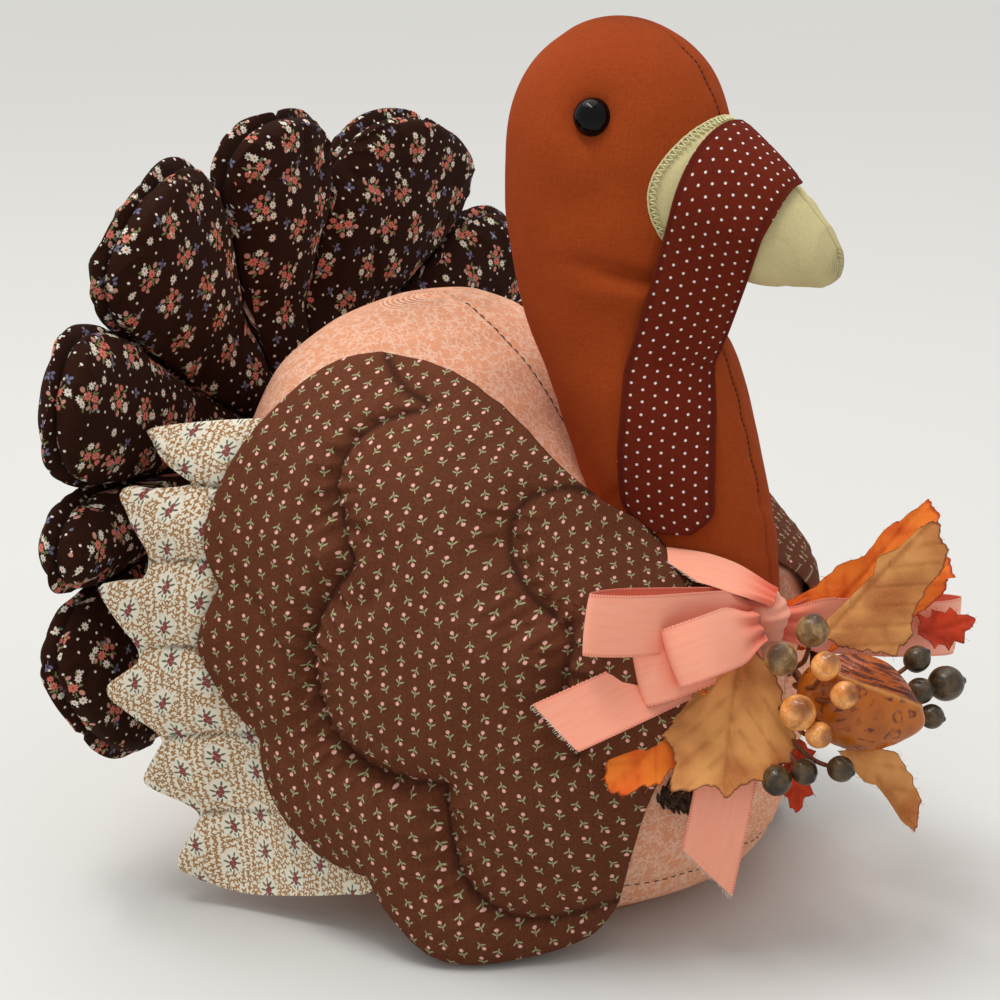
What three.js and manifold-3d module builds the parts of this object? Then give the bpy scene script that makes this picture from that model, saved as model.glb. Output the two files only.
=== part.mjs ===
// Stuffed calico turkey, seated, with a satin bow and an autumn spray at its breast.
// Millimetres, +Z up, beak towards +X, the origin on the table under the body.
import * as THREE from 'three';
import * as BufferGeometryUtils from 'three/addons/utils/BufferGeometryUtils.js';
import Module from 'manifold-3d';

const wasm = await Module();
wasm.setup();

// Gap between touching pieces, and the cloth of the body, neck and beak covers.
const GAP = 0.3;
const COVER = 1.2;
const BEAK_CLOTH = 0.8;

// Body: height, rearmost X, foremost X, half width.
const BODY_ROWS = [
  [0, -66, 88, 76], [12, -82, 110, 90], [40, -92, 122, 98], [80, -97, 128, 104], [115, -98, 126, 105],
  [134, -98, 118, 104], [147, -98, 92, 102], [160, -97, 56, 99], [176, -94, 35, 91], [190, -89, 23, 81],
  [202, -82, 12, 69], [214, -68, -2, 50], [222, -50, -14, 28],
];
const BODY_TOP = [-26, 0, 226];
const BODY_LEVELS = [0, 6, 16, 38, 72, 110, 132, 146, 159, 175, 190, 204, 215, 222];
const BODY_SIDES = 20;
const BASE_PANEL = 1.2;

// Neck and head: spine X, spine Z, half length across the spine, half width.
const NECK_ROWS = [
  [96, 96, 27, 25], [89, 128, 32, 30], [84, 150, 33, 31], [77, 172, 35, 33], [69, 194, 36, 34],
  [60.5, 214, 35.5, 33.5], [55, 234, 40, 35], [53, 257, 44, 37], [52.5, 281, 44.5, 36.5],
  [53.5, 303, 42.5, 34], [55, 321, 32, 25], [57, 332, 16, 13],
];
const HEAD_TOP = [58, 0, 337];
const NECK_RINGS = 12;
const NECK_SIDES = 16;

// Beak: X, height of its middle, half height, half width.
const BEAK_ROWS = [
  [66, 275, 36, 30.5], [84, 275, 34, 29.5], [102, 271.5, 28, 25.5], [117, 266, 22.5, 20],
  [130, 261, 16.5, 14.5], [138.5, 257.5, 11.5, 10], [143.5, 255.5, 6, 5.5],
];
const BEAK_TIP = [145.5, 0, 254.5];
const BEAK_SIDES = 14;

// Eyes: domed buttons drawn into the head by one thread.
const EYE = { x: 58.5, y: 33, z: 303.5, radius: 7.2, proud: 4.6 };
const THREAD = { radius: 0.6, channel: 1.2, sunk: 1 };

// Wattle: a lined strip that starts on the beak's ridge and hangs beside the neck.
const WATTLE_CLOTH = 2.4;
const WATTLE_CLEAR = 0.9;
const WATTLE_LEAN = 1.05;
// Angle round the beak from its ridge, X of the left edge, X of the right edge.
const WATTLE_TOP_ROWS = [
  [-6, 101, 127], [28, 98, 124], [62, 94, 120], [95, 90, 117], [126, 88, 114.5], [146, 88, 112],
];
// Height, left and right angle round the neck from the right side towards the front.
const WATTLE_FLAP_ROWS = [
  [241.5, 38, 96], [228, 28, 88], [210, 18, 74], [190, 5, 60], [170, -6, 50], [159, -8, 45], [152.5, 2, 34],
];

// Wing lining: height, X of its widest place, half length ahead of it, distance from the middle.
const WING_ROWS = [
  [0, 10, 106, 121], [12, 13, 106, 118], [40, 15, 110, 114], [80, 15.5, 116, 111], [120, 12, 113.5, 109.5],
  [140, 4, 102, 107.5], [154, 0, 89.5, 105], [168, -4, 84.5, 99.5], [184, -10.5, 77.5, 91],
  [202, -20, 67.5, 74], [216, -23, 47, 52.5], [225, -25, 20, 24],
];
// Behind this X the lining stands away from the body, pushed out by the tail.
const FLARE = { x: -30, rate: 0.0122, lowest: 0.4, rise: 130 };
const WING_BLUNT = 0.985;
const WING_PUFF = 9;
const WING_EDGE = 1.6;
const WING_CENTRE = [22, 105];
const WING_RINGS = [8, 4];
const WING_SEAM = { width: 6, depth: 0.72 };
// The wing is stitched down ahead of this X and free behind it, where it swings clear of the body.
const WING_FOLD = { x: 70, slit: 0.25 };
const WING_CLEAR = 2.2;

// Cream under-feathers behind and below each wing: outline in X and Z.
const CREAM_CENTRE = [0, 100];
const CREAM_RINGS = [4, 3];
const CREAM_INSET = 3;
const CREAM_CLOTH = 2;
const CREAM_PUFF = 3.2;
const CREAM_SEAM = { width: 5, depth: 0.7 };
// The under-feathers are loose behind this stretch of X.
const CREAM_LOOSE = [10, 50];
const CREAM_OUTLINE = [
  [-20, 191], [-47, 189], [-79, 186], [-75, 178], [-66, 167], [-81, 165], [-79, 152], [-74, 140], [-82, 132],
  [-80, 119], [-75, 107], [-82, 93], [-78, 82], [-70, 72], [-76, 55], [-70, 46], [-61, 40], [-67, 17],
  [-54, 12], [-37, 10], [-10, 14], [14, 20], [28, 34], [27, 66], [25, 105], [14, 145], [-2, 175],
];
const CREAM_SEAMS = [[[-66, 167], [-10, 161]], [[-74, 140], [-5, 135]], [[-75, 107], [0, 104]],
  [[-70, 72], [0, 75]], [[-61, 40], [5, 48]]];

// Tail: a fan of stuffed feathers on an ellipse about a hub behind the body.
// The hub is drawn forward against the body, and the sides of the fan curve forward too.
const FAN = { hubZ: 150, rearX: -107, forward: 7, halfWidth: 160, tuck: 7, tuckRadius: 50, hubRadius: 6 };
// Each feather: the angles of its two edges from straight up, its reach from the hub, and how much
// further it reaches at its second edge than at its middle.
const FEATHERS = [
  [-136, -101, 166, 5], [-101, -84, 156, 0], [-84, -57, 159, 0], [-57, -20, 150, -3], [-20, 17, 141, 0],
  [17, 58, 160, 14], [58, 82, 172, 0], [82, 101, 164, 0], [101, 136, 166, -5],
];
const FEATHER = { thin: 4.5, puff: 8, shoulder: 0.8, flare: 0.4, round: 2.4, sides: 12, rings: 8 };

// Bow: satin ribbon tied in a knot in front of the neck.
const RIBBON = { width: 22, thick: 0.8, pieces: 11 };
const KNOT = { centre: [127, -16, 122], radii: [7, 9, 10] };

// Spray: cloth leaves, a pod, a cone and wired berries at the knot.
const LEAF_THICK = 0.8;
const LEAF_MIDDLE = 0.42;
const POD = {
  centre: [170, -25, 99], half: [24, 12, 18], taper: 0.35, along: [0.86, 0.42, -0.3], near: [0.2, 0.2, 1],
};
const CONE = { centre: [124, -52, 64], half: [20, 9, 10], along: [0.9, 0.35, 0.05], near: [0, 0, 1] };
const STEM = { from: [132, -18, 112], to: [146, -20, 98], radius: 1.6 };
const STEM_RADIUS = 0.9;

const vec = (x, y, z) => new THREE.Vector3(x, y, z);

function finish(color, roughness, metalness = 0) {
  return new THREE.MeshStandardMaterial({ color, roughness, metalness });
}

const material = {
  body: finish('#e8a58a', 0.9),
  neck: finish('#a04a1b', 0.9),
  beak: finish('#e3dab0', 0.85),
  stuffing: finish('#f2efe6', 1),
  eye: finish('#080808', 0.15),
  wattle: finish('#5a1c18', 0.85),
  wing: finish('#5c3426', 0.9),
  cream: finish('#e6d8bb', 0.9),
  tail: finish('#33150f', 0.9),
  ribbon: finish('#f08f7c', 0.4),
  leafTan: finish('#c98a4b', 0.7),
  leafOrange: finish('#cc5a1e', 0.7),
  leafRed: finish('#a8331c', 0.7),
  pod: finish('#8c4a20', 0.3),
  cone: finish('#3a241a', 0.9),
  berry: finish('#7d5a45', 0.35),
  wire: finish('#5b3a26', 0.6),
};

const pieces = new THREE.Group();

// Geometry and solids

function facingOut(geometry) {
  const p = geometry.attributes.position;
  const index = geometry.index.array;
  const corner = k => vec().fromBufferAttribute(p, index[k]);
  let volume = 0;
  for (let k = 0; k < index.length; k += 3) {
    volume += corner(k).dot(corner(k + 1).cross(corner(k + 2)));
  }
  if (volume < 0) {
    for (let k = 0; k < index.length; k += 3) {
      [index[k + 1], index[k + 2]] = [index[k + 2], index[k + 1]];
    }
  }
  return geometry;
}

function merged(geometry) {
  const bare = geometry.clone();
  bare.deleteAttribute('normal');
  bare.deleteAttribute('uv');
  return facingOut(BufferGeometryUtils.mergeVertices(bare, 1e-4));
}

function solidFrom(geometry) {
  const shape = merged(geometry);
  const vertProperties = new Float32Array(shape.attributes.position.array);
  const triVerts = new Uint32Array(shape.index.array);
  return new wasm.Manifold(new wasm.Mesh({ numProp: 3, vertProperties, triVerts }));
}

function geometryFrom(solid) {
  const mesh = solid.getMesh();
  const geometry = new THREE.BufferGeometry();
  geometry.setAttribute('position', new THREE.BufferAttribute(mesh.vertProperties, 3));
  geometry.setIndex(new THREE.BufferAttribute(mesh.triVerts, 1));
  geometry.computeVertexNormals();
  return geometry;
}

function largest(solid) {
  const parts = solid.decompose();
  return parts.reduce((best, part) => (part.volume() > best.volume() ? part : best));
}

function cutBy(solid, cutters) {
  return largest(cutters.reduce((rest, cutter) => rest.subtract(cutter), solid));
}

function slab(low, high) {
  const box = new THREE.BoxGeometry(high[0] - low[0], high[1] - low[1], high[2] - low[2]);
  box.translate((low[0] + high[0]) / 2, (low[1] + high[1]) / 2, (low[2] + high[2]) / 2);
  return solidFrom(box);
}

function add(name, shape, look) {
  const geometry = shape instanceof THREE.BufferGeometry ? shape : geometryFrom(shape);
  const mesh = new THREE.Mesh(geometry, look);
  mesh.name = name;
  pieces.add(mesh);
  return mesh;
}

// A closed skin over a stack of rings, with a point at each end.
function closedForm(rings, firstPoint, lastPoint) {
  const count = rings[0].length;
  const points = [...rings.flat(), firstPoint, lastPoint];
  const index = [];
  for (let k = 0; k + 1 < rings.length; k++) {
    for (let i = 0; i < count; i++) {
      const a = k * count + i;
      const b = k * count + ((i + 1) % count);
      index.push(a, b, b + count, a, b + count, a + count);
    }
  }
  const first = rings.length * count;
  const top = (rings.length - 1) * count;
  for (let i = 0; i < count; i++) {
    const next = (i + 1) % count;
    index.push(first, next, i);
    index.push(first + 1, top + i, top + next);
  }
  const geometry = new THREE.BufferGeometry().setFromPoints(points);
  geometry.setIndex(index);
  return facingOut(geometry);
}

function ring(sides, point) {
  return Array.from({ length: sides }, (_, i) => point((2 * Math.PI * i) / sides));
}

// A pad between two faces that meet at its outline, or at a band round it when the edge is raw.
// point(x, y, side, reach) places each corner, with side 1 on the face and -1 on the back, and
// reach 0 at the centre and 1 at the outline.
function pad(outline, centre, faceRings, backRings, point, rawEdge = false) {
  const rings = [];
  const ringAt = (reach, side) => outline.map(([x, y]) => {
    const px = centre[0] + (x - centre[0]) * reach;
    const py = centre[1] + (y - centre[1]) * reach;
    return point(px, py, side, reach);
  });
  for (let k = 1; k <= faceRings; k++) rings.push(ringAt(Math.sqrt(k / faceRings), 1));
  const outermost = rawEdge ? backRings : backRings - 1;
  for (let k = outermost; k >= 1; k--) rings.push(ringAt(Math.sqrt(k / backRings), -1));
  return closedForm(rings, point(...centre, 1, 0), point(...centre, -1, 0));
}

function mirroredAcrossY(geometry) {
  return facingOut(geometry.clone().scale(1, -1, 1));
}

// Smooth curve through a table's rows.

function cubic(a, b, c, d, f) {
  const square = 2 * a - 5 * b + 4 * c - d;
  const cube = 3 * b - a - 3 * c + d;
  return 0.5 * (2 * b + (c - a) * f + square * f * f + cube * f * f * f);
}

function between(rows, i, f) {
  const row = k => rows[THREE.MathUtils.clamp(k, 0, rows.length - 1)];
  return row(i).map((_, c) => cubic(row(i - 1)[c], row(i)[c], row(i + 1)[c], row(i + 2)[c], f));
}

function alongRows(rows, t) {
  const i = Math.min(Math.floor(t * (rows.length - 1)), rows.length - 2);
  return between(rows, i, t * (rows.length - 1) - i);
}

function atHeight(rows, z) {
  let i = 0;
  while (i < rows.length - 2 && rows[i + 1][0] < z) i += 1;
  const f = THREE.MathUtils.clamp((z - rows[i][0]) / (rows[i + 1][0] - rows[i][0]), 0, 1);
  return between(rows, i, f);
}

// Distance from a point to the nearest of several polylines.
function seamDistance(x, y, lines) {
  let nearest = Infinity;
  for (const line of lines) {
    for (let k = 0; k + 1 < line.length; k++) {
      const [ax, ay] = line[k];
      const [bx, by] = line[k + 1];
      const length2 = (bx - ax) ** 2 + (by - ay) ** 2;
      const f = THREE.MathUtils.clamp(((x - ax) * (bx - ax) + (y - ay) * (by - ay)) / length2, 0, 1);
      nearest = Math.min(nearest, Math.hypot(x - ax - f * (bx - ax), y - ay - f * (by - ay)));
    }
  }
  return nearest;
}

// How full the filling is at a point beside stitched lines: 1 well away from them, least on them.
function stitched(x, y, lines, { width, depth }) {
  return 1 - depth * Math.exp(-((seamDistance(x, y, lines) / width) ** 2));
}

// Body, neck and head

function bodyForm(inset) {
  const rings = BODY_LEVELS.map(level => {
    const [, rear, front, half] = atHeight(BODY_ROWS, level);
    const z = inset + (level * (BODY_TOP[2] - 2 * inset)) / BODY_TOP[2];
    const middle = (rear + front) / 2;
    return ring(BODY_SIDES, a => vec(
      middle + ((front - rear) / 2 - inset) * Math.cos(a), (half - inset) * Math.sin(a), z));
  });
  const floor = vec(rings[0][0].x / 2 + rings[0][BODY_SIDES / 2].x / 2, 0, inset);
  return closedForm(rings, floor, vec(BODY_TOP[0], 0, BODY_TOP[2] - inset));
}

function neckForm(inset) {
  const spine = t => {
    const [x, z] = alongRows(NECK_ROWS, t);
    return vec(x, 0, z);
  };
  const rings = [];
  for (let k = 0; k <= NECK_RINGS; k++) {
    const t = k / NECK_RINGS;
    const [x, z, deep, half] = alongRows(NECK_ROWS, t);
    const up = spine(Math.min(t + 0.02, 1)).sub(spine(Math.max(t - 0.02, 0))).normalize();
    const ahead = vec(up.z, 0, -up.x);
    rings.push(ring(NECK_SIDES, a => vec(x, 0, z)
      .addScaledVector(ahead, (deep - inset) * Math.cos(a))
      .add(vec(0, (half - inset) * Math.sin(a), 0))));
  }
  const [footX, footZ] = NECK_ROWS[0];
  return closedForm(rings, vec(footX, 0, footZ), vec(HEAD_TOP[0], 0, HEAD_TOP[2] - inset));
}

function beakForm(inset) {
  const rings = BEAK_ROWS.map(([x, z, deep, half]) => ring(BEAK_SIDES, a => vec(
    x, (half - inset) * Math.sin(a), z + (deep - inset) * Math.cos(a))));
  const [rootX, rootZ] = BEAK_ROWS[0];
  return closedForm(rings, vec(rootX, 0, rootZ), vec(BEAK_TIP[0] - inset, 0, BEAK_TIP[2]));
}

const rightHalf = slab([-400, -400, -400], [400, -GAP / 2, 800]);
const leftHalf = slab([-400, GAP / 2, -400], [400, 400, 800]);
const underBase = slab([-400, -400, -400], [400, 400, BASE_PANEL + GAP]);
const bodyRoom = solidFrom(bodyForm(-GAP));
const neckRoom = solidFrom(neckForm(-GAP));
const beakRoom = solidFrom(beakForm(-GAP));
const threadChannel = solidFrom(new THREE.CylinderGeometry(THREAD.channel, THREAD.channel, 4 * EYE.y, 10)
  .translate(EYE.x, 0, EYE.z));

function addBody() {
  const skin = solidFrom(bodyForm(0)).subtract(solidFrom(bodyForm(COVER))).subtract(underBase);
  add('body_cover_right', largest(skin.intersect(rightHalf)), material.body);
  add('body_cover_left', largest(skin.intersect(leftHalf)), material.body);
  add('body_stuffing', solidFrom(bodyForm(COVER + GAP)).subtract(underBase), material.stuffing);
  const [, rear, front, half] = BODY_ROWS[0];
  const panel = new THREE.CylinderGeometry(1, 1, BASE_PANEL, BODY_SIDES);
  panel.rotateX(Math.PI / 2).scale((front - rear) / 2, half, 1);
  panel.translate((rear + front) / 2, 0, BASE_PANEL / 2);
  add('body_base_panel', merged(panel), material.body);
}

function addHead() {
  const skin = solidFrom(neckForm(0)).subtract(solidFrom(neckForm(COVER)));
  add('neck_cover_right', cutBy(skin.intersect(rightHalf), [bodyRoom, threadChannel]), material.neck);
  add('neck_cover_left', cutBy(skin.intersect(leftHalf), [bodyRoom, threadChannel]), material.neck);
  const filling = solidFrom(neckForm(COVER + GAP));
  add('neck_stuffing', cutBy(filling, [bodyRoom, threadChannel]), material.stuffing);
  const beakSkin = solidFrom(beakForm(0)).subtract(solidFrom(beakForm(BEAK_CLOTH)));
  add('beak_cover', cutBy(beakSkin, [neckRoom]), material.beak);
  add('beak_stuffing', cutBy(solidFrom(beakForm(BEAK_CLOTH + GAP)), [neckRoom]), material.stuffing);
}

function addEyes() {
  for (const [side, sign] of [['right', -1], ['left', 1]]) {
    const dome = new THREE.SphereGeometry(EYE.radius, 12, 8);
    dome.translate(EYE.x, sign * (EYE.y + EYE.proud - EYE.radius), EYE.z);
    add(`eye_${side}`, cutBy(solidFrom(dome), [neckRoom, threadChannel]), material.eye);
  }
  const length = 2 * (EYE.y - THREAD.sunk);
  const thread = new THREE.CylinderGeometry(THREAD.radius, THREAD.radius, length, 8);
  add('eye_thread', merged(thread.translate(EYE.x, 0, EYE.z)), material.eye);
}

// Wattle

// A sheet of cloth through rows of points, thickened along the given outward directions.
function clothSheet(rows, thick) {
  const count = rows[0].length;
  const face = rows.map(row => row.map(p => p.at.clone().addScaledVector(p.out, thick)));
  const back = rows.map(row => row.map(p => p.at));
  const rings = rows.map((_, k) => [...face[k], ...back[k].slice().reverse()]);
  const middle = k => rings[k].reduce((sum, p) => sum.add(p), vec()).divideScalar(2 * count);
  return closedForm(rings, middle(0), middle(rows.length - 1));
}

function wattleTop() {
  const rows = WATTLE_TOP_ROWS.map(([degrees, left, right]) => [0, 0.25, 0.5, 0.75, 1].map(f => {
    const x = THREE.MathUtils.lerp(left, right, f);
    const k = BEAK_ROWS.findIndex((row, i) => i < BEAK_ROWS.length - 1 && x < BEAK_ROWS[i + 1][0]);
    const [x0] = BEAK_ROWS[k];
    const [, z, deep, half] = between(BEAK_ROWS, k, (x - x0) / (BEAK_ROWS[k + 1][0] - x0));
    const a = THREE.MathUtils.degToRad(degrees);
    const out = vec(0.25, -Math.sin(a), Math.cos(a)).normalize();
    const at = vec(x, -half * Math.sin(a), z + deep * Math.cos(a)).addScaledVector(out, WATTLE_CLEAR);
    return { at, out };
  }));
  return clothSheet(rows, WATTLE_CLOTH);
}

function neckStation(z) {
  let t = 0;
  while (t < 1 && alongRows(NECK_ROWS, t)[1] < z) t += 0.002;
  return alongRows(NECK_ROWS, t);
}

function wattleFlap() {
  const rows = WATTLE_FLAP_ROWS.map(([z, left, right]) => [0, 0.2, 0.4, 0.6, 0.8, 1].map(f => {
    const [x, , deep, half] = neckStation(z);
    const a = THREE.MathUtils.degToRad(THREE.MathUtils.lerp(left, right, f));
    const out = vec(Math.sin(a), -Math.cos(a), 0);
    const at = vec(x + deep * WATTLE_LEAN * Math.sin(a), -half * Math.cos(a), z);
    return { at: at.addScaledVector(out, WATTLE_CLEAR), out };
  }));
  return clothSheet(rows, WATTLE_CLOTH);
}

function addWattle() {
  add('wattle_top', cutBy(solidFrom(wattleTop()), [neckRoom, beakRoom]), material.wattle);
  add('wattle_flap', cutBy(solidFrom(wattleFlap()), [neckRoom, beakRoom, bodyRoom]), material.wattle);
}

// Wings and under-feathers

// Distance of the wing lining from the middle plane.
function liningY(x, z) {
  const [, widest, ahead, reach] = atHeight(WING_ROWS, z);
  const t = THREE.MathUtils.clamp((x - widest) / ahead, 0, WING_BLUNT);
  const behind = Math.max(0, FLARE.x - x);
  const spread = FLARE.rate * Math.min(1, FLARE.lowest + z / FLARE.rise);
  return reach * Math.sqrt(1 - t * t) + spread * behind * behind;
}

function wingOutline() {
  const stretch = (pieces, points) => new THREE.SplineCurve(points.map(([x, z]) => new THREE.Vector2(x, z)))
    .getPoints(pieces).slice(0, -1).map(p => [p.x, p.y]);
  return [
    ...stretch(6, [[-17, 213.5], [9, 210], [38, 196], [70, 168], [93, 140], [106, 127], [113, 119]]),
    ...stretch(4, [[113, 119], [114, 98], [105, 62], [98, 22]]),
    ...stretch(7, [[98, 22], [90, 9], [69, 2.5], [46, 2.5], [26, 17], [17, 29]]),
    ...stretch(6, [[17, 29], [-3, 31], [-22, 42], [-33, 57], [-35, 72]]),
    ...stretch(5, [[-35, 72], [-49, 86], [-58, 108], [-51, 131]]),
    ...stretch(7, [[-51, 131], [-57, 150], [-51, 182], [-36, 207], [-17, 213.5]]),
  ];
}

// Stitched lines of the quilted wing, in X and Z.
const WING_SEAMS = [
  [[-14, 213], [1, 204], [13, 199], [1, 194], [-6, 186], [-7, 174], [-2, 162], [6, 147]],
  [[6, 147], [-6, 130], [-10, 114], [-8, 98], [1, 80], [22, 71], [46, 70]],
  [[46, 70], [48, 51], [54, 34], [67, 22], [80, 19], [98, 23]],
  [[70, 169], [63, 172], [56, 169], [55, 159], [60, 148], [69, 138], [77, 132]],
  [[81, 130], [84, 123], [84, 110], [89, 83]],
];

function wingForm(room) {
  return pad(wingOutline(), WING_CENTRE, ...WING_RINGS, (x, z, side, reach) => {
    const lining = liningY(x, z);
    if (side < 0) return vec(x, room - lining, z);
    const seam = stitched(x, z, WING_SEAMS, WING_SEAM);
    const crown = Math.sqrt(1 - reach ** 6);
    return vec(x, -lining - WING_EDGE - WING_PUFF * seam * crown - room, z);
  });
}

function creamForm() {
  return pad(CREAM_OUTLINE, CREAM_CENTRE, ...CREAM_RINGS, (x, z, side, reach) => {
    const lining = liningY(x, z) - CREAM_INSET;
    const loose = THREE.MathUtils.smoothstep(-x, ...CREAM_LOOSE);
    const puff = CREAM_PUFF * loose * stitched(x, z, CREAM_SEAMS, CREAM_SEAM) * Math.sqrt(1 - reach ** 6);
    return vec(x, side < 0 ? -lining + CREAM_CLOTH + puff : -lining, z);
  });
}

function addWings(taken) {
  const wing = wingForm(0);
  const wingRoom = wingForm(GAP);
  const cream = creamForm();
  const { x, slit } = WING_FOLD;
  const clear = solidFrom(bodyForm(-WING_CLEAR));
  const ahead = slab([x + slit, -400, -400], [400, 400, 800]);
  const behind = slab([-400, -400, -400], [x - slit, 400, 800]);
  for (const [side, onSide] of [['right', form => form], ['left', mirroredAcrossY]]) {
    const padded = cutBy(solidFrom(onSide(wing)), [clear, neckRoom]);
    add(`wing_front_${side}`, largest(padded.intersect(ahead)), material.wing);
    add(`wing_${side}`, largest(padded.intersect(behind)), material.wing);
    add(`wing_feathers_${side}`, cutBy(solidFrom(onSide(cream)), [bodyRoom]), material.cream);
    taken.push(solidFrom(onSide(wingRoom)).add(padded));
  }
}

// Tail

// A place on the fan's middle surface: r from the hub along the angle, then across it.
function onFan(angle, r, across, proud) {
  const y = r * Math.sin(angle) + across * Math.cos(angle);
  const z = r * Math.cos(angle) - across * Math.sin(angle);
  const tuck = FAN.tuck * Math.max(0, 1 - Math.hypot(y, z) / FAN.tuckRadius);
  return vec(FAN.rearX + FAN.forward * (y / FAN.halfWidth) ** 2 + tuck + proud, y, FAN.hubZ + z);
}

function featherForm(startDegrees, endDegrees, reach, lean) {
  const angle = THREE.MathUtils.degToRad((startDegrees + endDegrees) / 2);
  const spread = Math.tan(THREE.MathUtils.degToRad((endDegrees - startDegrees) / 2));
  const shoulder = FEATHER.shoulder * reach;
  const rings = [];
  for (let k = 0; k < FEATHER.rings; k++) {
    const r = FAN.hubRadius + (reach - FAN.hubRadius) * Math.sin((k / FEATHER.rings) * (Math.PI / 2));
    const past = Math.max(0, (r - shoulder) / (reach - shoulder));
    const round = (1 - past ** FEATHER.round) ** (1 / FEATHER.round);
    const half = Math.min(r, shoulder + (r - shoulder) * FEATHER.flare) * spread * round - GAP;
    const swell = Math.sin((Math.PI * Math.min(r / reach, 0.75)) / 1.5);
    const thick = (FEATHER.thin + FEATHER.puff * swell) * Math.sqrt(round);
    rings.push(ring(FEATHER.sides, a => {
      const across = Math.cos(a);
      const stretched = 1 + (lean * across) / reach;
      return onFan(angle, r * stretched, half * stretched * across, thick * Math.sin(a));
    }));
  }
  return closedForm(rings, onFan(angle, FAN.hubRadius - 0.5, 0, 0), onFan(angle, reach, 0, 0));
}

function addTail() {
  FEATHERS.forEach((feather, k) => {
    add(`tail_feather_${k + 1}`, cutBy(solidFrom(featherForm(...feather)), [bodyRoom]), material.tail);
  });
}

// Bow

// Ribbon with the given side view, extruded to its width and centred on it, with room all round.
function ribbonForm(side, room) {
  const curve = new THREE.SplineCurve(side.map(([x, y]) => new THREE.Vector2(x, y)));
  const points = curve.getPoints(RIBBON.pieces);
  const half = RIBBON.thick / 2 + room;
  const edge = sign => points.map((p, i) => {
    const before = points[Math.max(i - 1, 0)];
    const after = points[Math.min(i + 1, points.length - 1)];
    const along = after.clone().sub(before).normalize();
    return new THREE.Vector2(p.x - along.y * sign * half, p.y + along.x * sign * half);
  });
  const shape = new THREE.Shape([...edge(1), ...edge(-1).reverse()]);
  const depth = RIBBON.width + 2 * room;
  return new THREE.ExtrudeGeometry(shape, { depth, bevelEnabled: false }).translate(0, 0, -depth / 2);
}

// Side view of a loop of the given length, opened to twice the given half height.
function loopSide(length, open) {
  return [[0, -1], [0.35 * length, -0.62 * open], [0.78 * length, -open], [length, 0],
    [0.78 * length, open], [0.35 * length, 0.62 * open], [0, 1]];
}

// Puts a shape made in its own X, Y and Z at a place, with X along one direction and Z near another.
function placedAt(geometry, origin, along, near) {
  const x = vec(...along).normalize();
  const y = vec(...near).normalize().cross(x).normalize();
  const z = x.clone().cross(y);
  const turn = new THREE.Matrix4().makeBasis(x, y, z).setPosition(...origin);
  return geometry.clone().applyMatrix4(turn);
}

// Adds a shape cut back from all that is already there, and keeps its own room clear for what follows.
function addInTurn(name, form, look, taken) {
  add(name, cutBy(form(0), taken), look);
  taken.push(form(GAP));
}

const BOW_PARTS = [
  {
    name: 'bow_loop_left', side: loopSide(80, 8),
    at: [125, -22, 125], along: [-0.33, -0.94, 0.1], near: [0, 0.1, 1],
  },
  {
    name: 'bow_loop_right', side: loopSide(76, 8),
    at: [130, -10, 118], along: [0.5, 0.84, -0.17], near: [0, 0.1, 1],
  },
  {
    name: 'bow_loop_front', side: loopSide(46, 10),
    at: [129, -22, 118], along: [0.1, -0.98, -0.1], near: [0.5, 0, 1],
  },
  {
    name: 'bow_loop_small', side: loopSide(54, 7),
    at: [125, -24, 115], along: [-0.13, -0.94, -0.28], near: [-0.25, 0, 1],
  },
  {
    name: 'bow_loop_top', side: loopSide(56, 4),
    at: [131, -14, 127], along: [-0.68, -0.6, 0.36], near: [0.6, -0.7, 0.4],
  },
  {
    name: 'bow_tail_left', side: [[0, 0], [30, 9], [65, 8], [98, 2]],
    at: [121, -24, 111], along: [-0.34, -0.93, -0.16], near: [0.1, -0.2, 1],
  },
  {
    name: 'bow_tail_down', side: [[0, 0], [30, -12], [60, -12], [88, -6]],
    at: [125, -28, 112], along: [0.06, -0.34, -0.94], near: [0.8, 0.5, -0.1],
  },
];

function knotForm(room) {
  const ball = new THREE.SphereGeometry(1, 14, 10).scale(...KNOT.radii.map(r => r + room));
  return solidFrom(ball.translate(...KNOT.centre));
}

function addBow(taken) {
  addInTurn('bow_knot', knotForm, material.ribbon, taken);
  for (const { name, side, at, along, near } of BOW_PARTS) {
    const form = room => solidFrom(placedAt(ribbonForm(side, room), at, along, near));
    addInTurn(name, form, material.ribbon, taken);
  }
}

// Spray

// Half of a lobed leaf: distance along the rib and out from it, as shares of length and half width.
const LEAF_HALF = [
  [0.06, 0.2], [0.0, 0.55], [0.18, 0.52], [0.26, 1.0], [0.4, 0.62], [0.58, 0.86], [0.64, 0.46], [0.82, 0.36],
];

function leafForm({ length, halfWidth, bend }, room) {
  const one = LEAF_HALF.map(([u, v]) => [u * length, v * halfWidth]);
  const other = one.map(([x, y]) => [x, -y]);
  const outline = [[0, 0], ...other, [length, 0], ...one.reverse()];
  return pad(outline, [LEAF_MIDDLE * length, 0], 1, 1, (x, y, side) => {
    const lift = bend * ((x / length - LEAF_MIDDLE) ** 2 * 4 - (y / halfWidth) ** 2 * 0.5);
    return vec(x, y, lift + side * (LEAF_THICK / 2 + room));
  }, true);
}

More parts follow.
